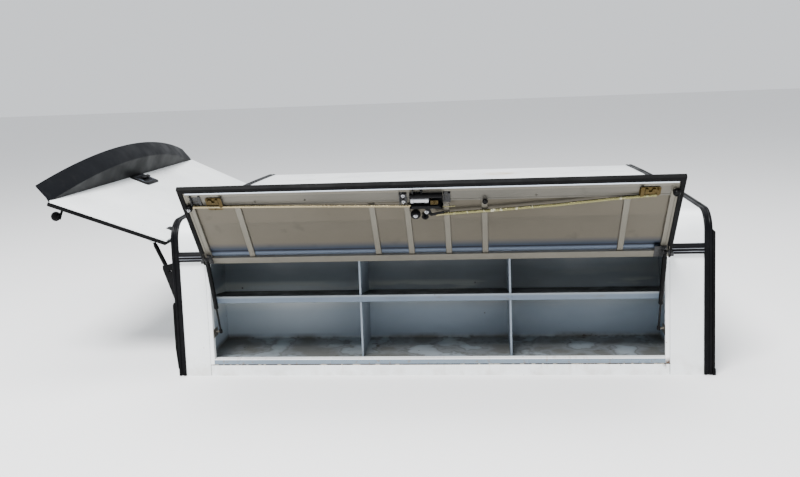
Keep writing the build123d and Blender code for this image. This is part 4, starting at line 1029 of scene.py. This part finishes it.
ROD_LEVEL = INNER_FACE + 0.0145
rear_rod = ((-1.8356, 0.130), (-1.640, 0.1335), (-1.4492, 0.1374), (-1.260, 0.1435), (-1.0722, 0.1498),
            (-0.9798, 0.1504))
front_rod = ((-0.9639, 0.1963), (-0.750, 0.180), (-0.5388, 0.1605), (-0.3716, 0.1386), (-0.2237, 0.124))
rods = bmesh.new()
for path, radius in ((rear_rod, 0.0052), (front_rod, 0.0056)):
    add_pipe(rods, [(x, ROD_LEVEL, z) for x, z in path], radius)
add_pipe(rods, [(-0.9709, ROD_LEVEL, 0.1549), (-0.930, ROD_LEVEL, 0.158),
                (-0.8996, ROD_LEVEL - 0.002, 0.1573)], 0.0018)
for x, z in (rear_rod[0], rear_rod[-1], front_rod[0], front_rod[-1]):
    collar = [(0.0062, 0), (0.0062, 0.008), (0.005, 0.009), (0, 0.009)]
    add_turned(rods, collar, (x, ROD_LEVEL - 0.0045, z), OUTWARD, 16)
make_on_door("pull_rods", rods, rod_zinc, ["toolbox_latch_rods"])

LOCK_ENDS = (-1.0569, -0.9421)
lock = bmesh.new()
add_plate(lock, oblong(*LOCK_ENDS, 0.0906, 0.1466), 0.0085, 0.0115)
for z0, z1 in ((0.0906, 0.0936), (0.1436, 0.1466)):
    add_plate(lock, oblong(*LOCK_ENDS, z0, z1), 0.0110, 0.0330)
add_plate(lock, [(-1.050, 0.128), (-0.955, 0.128), (-0.948, 0.134), (-0.948, 0.140), (-1.050, 0.140)],
          0.0110, 0.0400)
add_plate(lock, [(-0.9875, 0.187), (-0.9402, 0.175), (-0.9380, 0.180), (-0.9392, 0.186), (-0.986, 0.199),
                 (-0.992, 0.194)], 0.0175, 0.0205)
add_plate(lock, [(-1.0130, 0.140), (-0.9960, 0.140), (-0.9820, 0.188), (-0.9900, 0.196), (-1.0000, 0.190)],
          0.0160, 0.0180)
make_on_door("lock_box", lock, black_steel, ["toolbox_lock"], 0.0010)

KNOB = [(0.8, 0), (0.95, 0.15), (1.0, 0.45), (0.95, 0.75), (0.78, 0.95), (0.5, 1.0), (0.46, 0.9), (0, 0.9)]
knobs = bmesh.new()
for x, z, radius, height in ((-1.0401, 0.1854, 0.018, 0.022), (-1.8525, 0.1321, 0.013, 0.018),
                             (-0.1552, 0.1083, 0.013, 0.018), (-0.7960, 0.1327, 0.010, 0.012)):
    profile = [(radius * a, height * b) for a, b in KNOB]
    add_turned(knobs, [(radius * 0.45, -0.010), (radius * 0.45, 0)] + profile, (x, INNER_FACE + 0.012, z),
               OUTWARD, 28)
add_bolt(knobs, (-1.0087, INNER_FACE + 0.008, 0.215), OUTWARD, 0.009, 0.007)
make_on_door("linkage_knobs", knobs, black_plastic)

bright = mill_finish("lock_chrome", (0.50, 0.51, 0.53), (0.30, 0.30, 0.31), 0.16, (30, 30, 30))
cylinder = bmesh.new()
add_turned(cylinder, [(0.0115, 0), (0.0133, 0.0015), (0.0133, 0.010), (0.0118, 0.011), (0.0118, 0.050),
                      (0.0128, 0.051), (0.0128, 0.061), (0.0112, 0.0635), (0.0045, 0.0635), (0.0045, 0.061),
                      (0, 0.061)], (-1.0534, INNER_FACE + 0.0235, 0.1090), (1, 0, 0), 28)
add_bolt(cylinder, (-0.9798, INNER_FACE + 0.0185, 0.1504), OUTWARD, 0.0075, 0.006)
for x, z, radius, rise in ((-1.0013, 0.1814, 0.0055, 0.0165), (-1.8525, 0.1321, 0.0045, 0.0280),
                           (-1.0401, 0.1854, 0.0060, 0.0310), (-1.0790, 0.0960, 0.0045, 0.0165),
                           (-1.0790, 0.1260, 0.0045, 0.0165)):
    add_bolt(cylinder, (x, INNER_FACE + rise, z), OUTWARD, radius, 0.004)
make_on_door("lock_cylinder", cylinder, bright)

clips = bmesh.new()
for x0, x1, z0, z1, rise in ((-1.0457, -1.0101, 0.0704, 0.0935, 0.016),
                             (-0.9393, -0.9150, 0.0868, 0.1393, 0.014),
                             (-1.0925, -1.0667, 0.0842, 0.1371, 0.016),
                             (-1.8402, -1.8035, 0.0737, 0.1274, 0.013)):
    add_plate(clips, oblong(x0, x1, z0, z1), 0.0065, 0.0095)
    add_plate(clips, oblong(x0, x0 + 0.003, z0, z1), 0.0090, rise + 0.006)
    add_plate(clips, oblong(x1 - 0.008, x1, z0 + 0.004, z1 - 0.004), 0.0090, rise)
STRAP_FACE = FRAME_FACE + 0.0020
for x0, x1, z0, z1 in ((-1.8553, -1.8378, 0.404, 0.4545), (-0.1910, -0.1486, 0.3953, 0.4529)):
    add_bar(clips, oblong(x0, x1, z0, z1), FRAME_FACE - 0.0005, STRAP_FACE, "Y")
    add_rivets(clips, [((x0 + x1) / 2, STRAP_FACE, z) for z in (z0 + 0.010, z1 - 0.010)], OUTWARD)
make_on_door("latch_brackets", clips, zinc, edge=0.0007)

plate = bmesh.new()
add_plate(plate, [(-0.9841, 0.1043), (-0.9568, 0.1043), (-0.9568, 0.118), (-0.9610, 0.125), (-0.9841, 0.125)],
          0.0330, 0.0350)
add_bolt(plate, (-0.9705, INNER_FACE + 0.0350, 0.1145), OUTWARD, 0.0042, 0.003)
add_plate(plate, oblong(-0.9841, -0.9811, 0.1043, 0.125), 0.0110, 0.0340)
make_on_door("lock_plate", plate, yellow_zinc, edge=0.0006)


# Gas struts
# Each door has two black gas struts. The thick painted cylinder hangs from a stud on the door,
# and the thin dark rod runs out of it down to a socket on a stud of the shell.
strut_black = satin_black("strut_black", (0.0016, 0.0016, 0.0018), (0.0030, 0.0030, 0.0033), 0.32, 700.0)
rod_dark = mill_finish("rod_dark", (0.010, 0.010, 0.011), (0.006, 0.006, 0.006), 0.36, (20, 20, 20))
EYE_RADIUS = 0.008
EYE_WIDTH = 0.010


def add_eye(mesh, centre, pivot, bore):
    """A moulded end fitting: a thick ring round a stud, along the stud's direction."""
    half = EYE_WIDTH / 2
    rings = [(bore, -half), (EYE_RADIUS - 0.001, -half), (EYE_RADIUS, -half + 0.001),
             (EYE_RADIUS, half - 0.001), (EYE_RADIUS - 0.001, half), (bore, half)]
    add_turned(mesh, rings, centre, pivot, 24)


def gas_strut(name, low, high, pivot, tube):
    """A strut from its lower stud to its upper one; tube is how far the barrel reaches down."""
    low, high, pivot = Vector(low), Vector(high), Vector(pivot)
    along = (high - low).normalized()
    length = (high - low).length
    start = length - tube
    rod = bmesh.new()
    add_turned(rod, [(0, 0.006), (0.004, 0.006), (0.004, start + 0.056), (0, start + 0.056)], low, along, 16)
    make(name + "_rod_shaft", rod, rod_dark, name + "_rod", [name + "_rod"])
    socket = bmesh.new()
    add_eye(socket, low, pivot, 0.0)
    collar = [(0.0060, 0.002), (0.0064, 0.004), (0.0064, 0.0095), (0.0056, 0.0110), (0.0041, 0.0118),
              (0.0041, 0.0070), (0, 0.0070)]
    add_turned(socket, collar, low, along, 20)
    make(name + "_rod_socket", socket, black_plastic, name + "_rod")
    mouth = [(0.0044, 0.004), (0.0058, 0.0008), (0.0076, 0), (0.0088, 0.002), (0.0090, 0.005),
             (0.0090, 0.010), (0.0084, 0.012), (0.0084, 0.014), (0.0090, 0.016)]
    head = [(0.0090, 0.024), (0.0084, 0.020), (0.0060, 0.018), (0.0060, 0.012), (0, 0.012)]
    barrel = bmesh.new()
    add_turned(barrel, [(radius, start + up) for radius, up in mouth]
               + [(radius, length - down) for radius, down in head], low, along, 28)
    make(name + "_barrel", barrel, strut_black, name + "_cylinder", [name + "_cylinder"])
    neck = [(0.0062, 0.020), (0.0066, 0.018), (0.0066, 0.007), (0, 0.007)]
    eye = bmesh.new()
    add_eye(eye, high, pivot, 0.0042)
    add_turned(eye, [(radius, length - down) for radius, down in neck], low, along, 20)
    make(name + "_barrel_eye", eye, black_plastic, name + "_cylinder")


for end, x in (("rear", -1.853), ("front", -0.156)):
    gas_strut("toolbox_" + end + "_strut", (x, -0.840, 0.168), (x, -0.9630, 0.4853), (1, 0, 0), 0.228)
for side, y in (("near", -0.750), ("far", 0.750)):
    gas_strut(side + "_rear_strut", (-1.975, y, 0.150), (-2.1427, y, 0.5267), (0, 1, 0), 0.300)


# Rear lift door
# An aluminium sheet with its two long edges closer at the top, stiffened by a welded frame
# inside, gloss white like the shell. A rubber seal grips the frame's outer edge.
REAR_HINGE = Vector((-2.070, 0, 0.545))
raise_rear = (Matrix.Translation(REAR_HINGE) @ Matrix.Rotation(radians(112.75), 4, "Y")
              @ Matrix.Translation(-REAR_HINGE))
REAR_INNER = -2.040
REAR_OUTER = -2.060
REAR_SKIN = REAR_OUTER + 0.002
REAR_TOP = 0.550
REAR_BOTTOM = 0.075
REAR_TOP_HALF = 0.790
REAR_BOTTOM_HALF = 0.880


def rear_corners(inset):
    """The door's outline as (y, z) points, moved in by inset."""
    low, high = REAR_BOTTOM_HALF - inset, REAR_TOP_HALF - inset
    foot, head = REAR_BOTTOM + inset, REAR_TOP - inset
    return [(-low, foot), (low, foot), (high, head), (-high, head)]


def add_frame_run(mesh, section):
    """Sweeps a section of (inset, x) points round the door's outline."""
    loops = [[mesh.verts.new((x, *rear_corners(inset)[corner])) for inset, x in section]
             for corner in range(4)]
    add_skin(mesh, loops + loops[:1], ends=False)


def make_on_rear_door(name, mesh, finish, stands_for=(), edge=0.0):
    """A piece of the lift door: drawn on the shut door and raised with it."""
    make(name, mesh, finish, "rear_door", stands_for, edge, raise_rear)


rear_panel = bmesh.new()
add_bar(rear_panel, rear_corners(0.0), REAR_OUTER, REAR_SKIN)
make_on_rear_door("rear_door_sheet", rear_panel, door_white, ["rear_door_panel"], 0.0006)
rear_ring = bmesh.new()
add_frame_run(rear_ring, [(0.0, REAR_SKIN), (0.0, REAR_INNER - 0.001), (0.001, REAR_INNER),
                          (0.025, REAR_INNER), (0.027, REAR_INNER - 0.003), (0.0385, REAR_INNER - 0.004),
                          (0.040, REAR_INNER - 0.006), (0.040, REAR_SKIN)])
STIFFENER = REAR_INNER - 0.007 - REAR_SKIN
for y in (-0.27, 0.27):
    stiffener = [(0, -0.021), (0.001, -0.021), (0.001, -0.012), (STIFFENER, -0.009), (STIFFENER, 0.009),
                 (0.001, 0.012), (0.001, 0.021), (0, 0.021)]
    add_bar(rear_ring, [(REAR_SKIN + rise, y + across) for rise, across in stiffener],
            REAR_BOTTOM + 0.040, REAR_TOP - 0.040, "Z")
EAR_OUT = 0.7612
FOOT_FACE = REAR_SKIN + 0.0025
ear_foot, ear_top = 0.469, 0.501
for side in (-1, 1):
    low, high = sorted((side * EAR_OUT, side * (EAR_OUT + 0.0026)))
    add_bar(rear_ring, [(REAR_SKIN, ear_foot), (REAR_SKIN, ear_top), (-2.028, ear_top),
                        (-2.018, ear_top - 0.008), (-2.018, ear_foot + 0.008), (-2.028, ear_foot)],
            low, high, "Y")
    low, high = sorted((side * EAR_OUT, side * 0.720))
    add_bar(rear_ring, oblong(REAR_SKIN, FOOT_FACE, low, high), ear_foot, ear_top, "Z")
    rivets = [(FOOT_FACE, side * 0.740, z) for z in (ear_foot + 0.008, ear_top - 0.008)]
    add_rivets(rear_ring, rivets, (1, 0, 0))
    add_turned(rear_ring, [(0.004, 0), (0.004, 0.0165), (0.006, 0.017), (0.006, 0.019), (0, 0.019)],
               (-2.025, side * EAR_OUT, 0.485), (0, -side, 0), 16)
make_on_rear_door("rear_door_rails", rear_ring, white_paint, ["rear_door_frame"], 0.0007)
rear_bead = bmesh.new()
bead_section = [(0.0, -0.012), (-0.0018, -0.011), (-0.0018, 0.0020), (0.0015, 0.0050), (0.0100, 0.0060),
                (0.0172, 0.0052), (0.0198, 0.0030), (0.0198, 0), (0.0, 0)]
add_frame_run(rear_bead, [(inset, REAR_INNER + rise) for inset, rise in bead_section])
make_on_rear_door("rear_door_bulb", rear_bead, rubber, ["rear_door_seal"])


# Skirt of the lift door
# A black plastic moulding along the lower edge: a shelf that bows rearwards, and a flared rim
# that covers the gap down to the tailgate.
BOW = 0.104
DROP = 0.071
FLARE = 0.038
SKIRT_STEPS = 28
bow_radius = (REAR_BOTTOM_HALF ** 2 + BOW ** 2) / (2 * BOW)
ledge = bmesh.new()
rim_band = bmesh.new()
ledge_rows = []
rim_rows = []
for k in range(SKIRT_STEPS + 1):
    y = REAR_BOTTOM_HALF * (2 * k / SKIRT_STEPS - 1)
    x = REAR_OUTER - (bow_radius ** 2 - y ** 2) ** 0.5 + (bow_radius - BOW)
    ledge_section = [(REAR_OUTER, 0.004), (x + 0.0060, 0.004), (x + 0.0060, 0), (REAR_OUTER, 0)]
    rim_section = [(0.0070, 0.0044), (0.0040, 0.0040), (0.0010, 0), (-0.24 * FLARE, -0.20 * DROP),
                   (-0.90 * FLARE, -0.90 * DROP), (-FLARE + 0.0002, -DROP + 0.0015), (-FLARE + 0.0020, -DROP),
                   (-FLARE + 0.0040, -DROP + 0.0015), (-0.90 * FLARE + 0.0045, -0.90 * DROP),
                   (-0.24 * FLARE + 0.0045, -0.20 * DROP), (0.0070, 0)]
    ledge_rows.append([ledge.verts.new((a, y, REAR_BOTTOM + rise)) for a, rise in ledge_section])
    rim_rows.append([rim_band.verts.new((x + a, y, REAR_BOTTOM + rise)) for a, rise in rim_section])
add_skin(ledge, ledge_rows)
add_skin(rim_band, rim_rows)
# Painted light: the ledge is a lighter grey than the rim, though both are the same black moulding.
skirt_ledge_lit = satin_black("skirt_ledge_lit", (0.0105, 0.0110, 0.0115), (0.0120, 0.0125, 0.0130), 0.5, 450.0,
                         0.00003)
make_on_rear_door("skirt_ledge", ledge, skirt_ledge_lit)
skirt_black = satin_black("skirt_black", (0.0014, 0.0018, 0.0030), (0.0019, 0.0024, 0.0038), 0.45, 450.0,
                          0.00003)
make_on_rear_door("skirt_rim", rim_band, skirt_black, ["rear_door_skirt"])


# Hinges, handle and bumpers of the lift door
# Black steel straps turn on the pins of the header's arms. A T handle works the rear latch
# through a dark base plate. Rubber knobs on studs stop the lower corners of the door.
STRAP_HALF = 0.025
STRAP_OUT = REAR_OUTER - 0.0022
straps = bmesh.new()
for y in (-0.620, 0.0, 0.620):
    low, high = y - STRAP_HALF, y + STRAP_HALF
    add_bar(straps, [(STRAP_OUT, REAR_TOP), (STRAP_OUT, REAR_TOP - 0.052),
                     (STRAP_OUT + 0.0008, REAR_TOP - 0.060), (REAR_OUTER, REAR_TOP - 0.060),
                     (REAR_OUTER, REAR_TOP)], low, high, "Y")
    add_bar(straps, oblong(REAR_HINGE.x, REAR_OUTER, 0.543, 0.547), low, high, "Y")
    width = high - low
    add_turned(straps, [(0.0036, 0), (0.0064, 0), (0.0070, 0.0006), (0.0070, width - 0.0006), (0.0064, width),
                        (0.0036, width)], (REAR_HINGE.x, low, REAR_HINGE.z), (0, 1, 0), 20)
    for across in (-0.014, 0.014):
        for down in (0.040, 0.018):
            add_bolt(straps, (REAR_OUTER - 0.0020, y + across, REAR_TOP - down), (-1, 0, 0), 0.0045, 0.0035)
make_on_rear_door("strap_hinges", straps, black_steel, ["rear_door_hinges"])

HANDLE_Z = 0.130
HANDLE_FACE = REAR_OUTER - 0.008


def add_rounded(mesh, half_y, half_z, corner, levels):
    """A rounded plate of the handle: levels are (rise, margin) pairs out from the handle's face."""
    loops = []
    for rise, margin in levels:
        reach = corner - margin
        loop = []
        for sy, sz, start in ((1, 1, 0), (-1, 1, 90), (-1, -1, 180), (1, -1, 270)):
            for k in range(6):
                a = radians(start + 18 * k)
                y = sy * (half_y - corner) + reach * cos(a)
                z = HANDLE_Z + sz * (half_z - corner) + reach * sin(a)
                loop.append(mesh.verts.new((HANDLE_FACE - rise, y, z)))
        loops.append(loop)
    add_skin(mesh, loops)


base = bmesh.new()
add_rounded(base, 0.075, 0.050, 0.014, [(-0.008, 0.0), (-0.003, 0.0), (0, 0.003)])
add_rivets(base, [(HANDLE_FACE, y, HANDLE_Z) for y in (-0.067, 0.067)], (-1, 0, 0), 0.0038)
make_on_rear_door("handle_escutcheon", base, black_plastic, ["rear_handle_base"])

dish = bmesh.new()
add_rounded(dish, 0.058, 0.034, 0.012, [(-0.001, 0.0), (0.0004, 0.0006), (0.0004, 0.0030), (-0.0006, 0.0040)])
smoked = mill_finish("smoked_plate", (0.13, 0.15, 0.19), (0.03, 0.034, 0.044), 0.25, (18, 18, 18))
make_on_rear_door("handle_dish", dish, smoked)

grip = bmesh.new()
add_turned(grip, [(0.0075, -0.013), (0.0075, 0.006), (0.0090, 0.008), (0.0105, 0.014), (0, 0.014)],
           (HANDLE_FACE, 0, HANDLE_Z), (-1, 0, 0), 24)
add_rounded(grip, 0.048, 0.009, 0.0085, [(0.006, 0.0030), (0.008, 0.0006), (0.0115, 0.0), (0.0140, 0.0018),
                                         (0.0150, 0.0042)])
make("t_handle", grip, black_plastic, "rear_handle", ["rear_handle"], turn=raise_rear)

KNOB_OUT = 0.790
stem = [(0.011, 0), (0.011, 0.002), (0.0055, 0.003), (0.0050, 0.048), (0.0062, 0.050), (0.0062, 0.066),
        (0, 0.066)]
ball = [(0.0105, -0.0170), (0.0155, -0.0125), (0.0188, -0.0065), (0.0200, 0), (0.0188, 0.0065),
        (0.0155, 0.0125), (0.0105, 0.0170), (0.004, 0.0196), (0, 0.0198)]
bumpers = bmesh.new()
for side in (-1, 1):
    add_turned(bumpers, stem, (REAR_INNER, side * KNOB_OUT, 0.102), (1, 0, 0), 20)
    add_turned(bumpers, ball, (REAR_INNER + 0.060, side * KNOB_OUT, 0.085), (1, 0, 0), 28)
make_on_rear_door("rubber_knobs", bumpers, rubber, ["rear_door_bumpers"])


low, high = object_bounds()
{"cad": [list(c) for c in cad_box], "visual": [list(low), list(high)]}
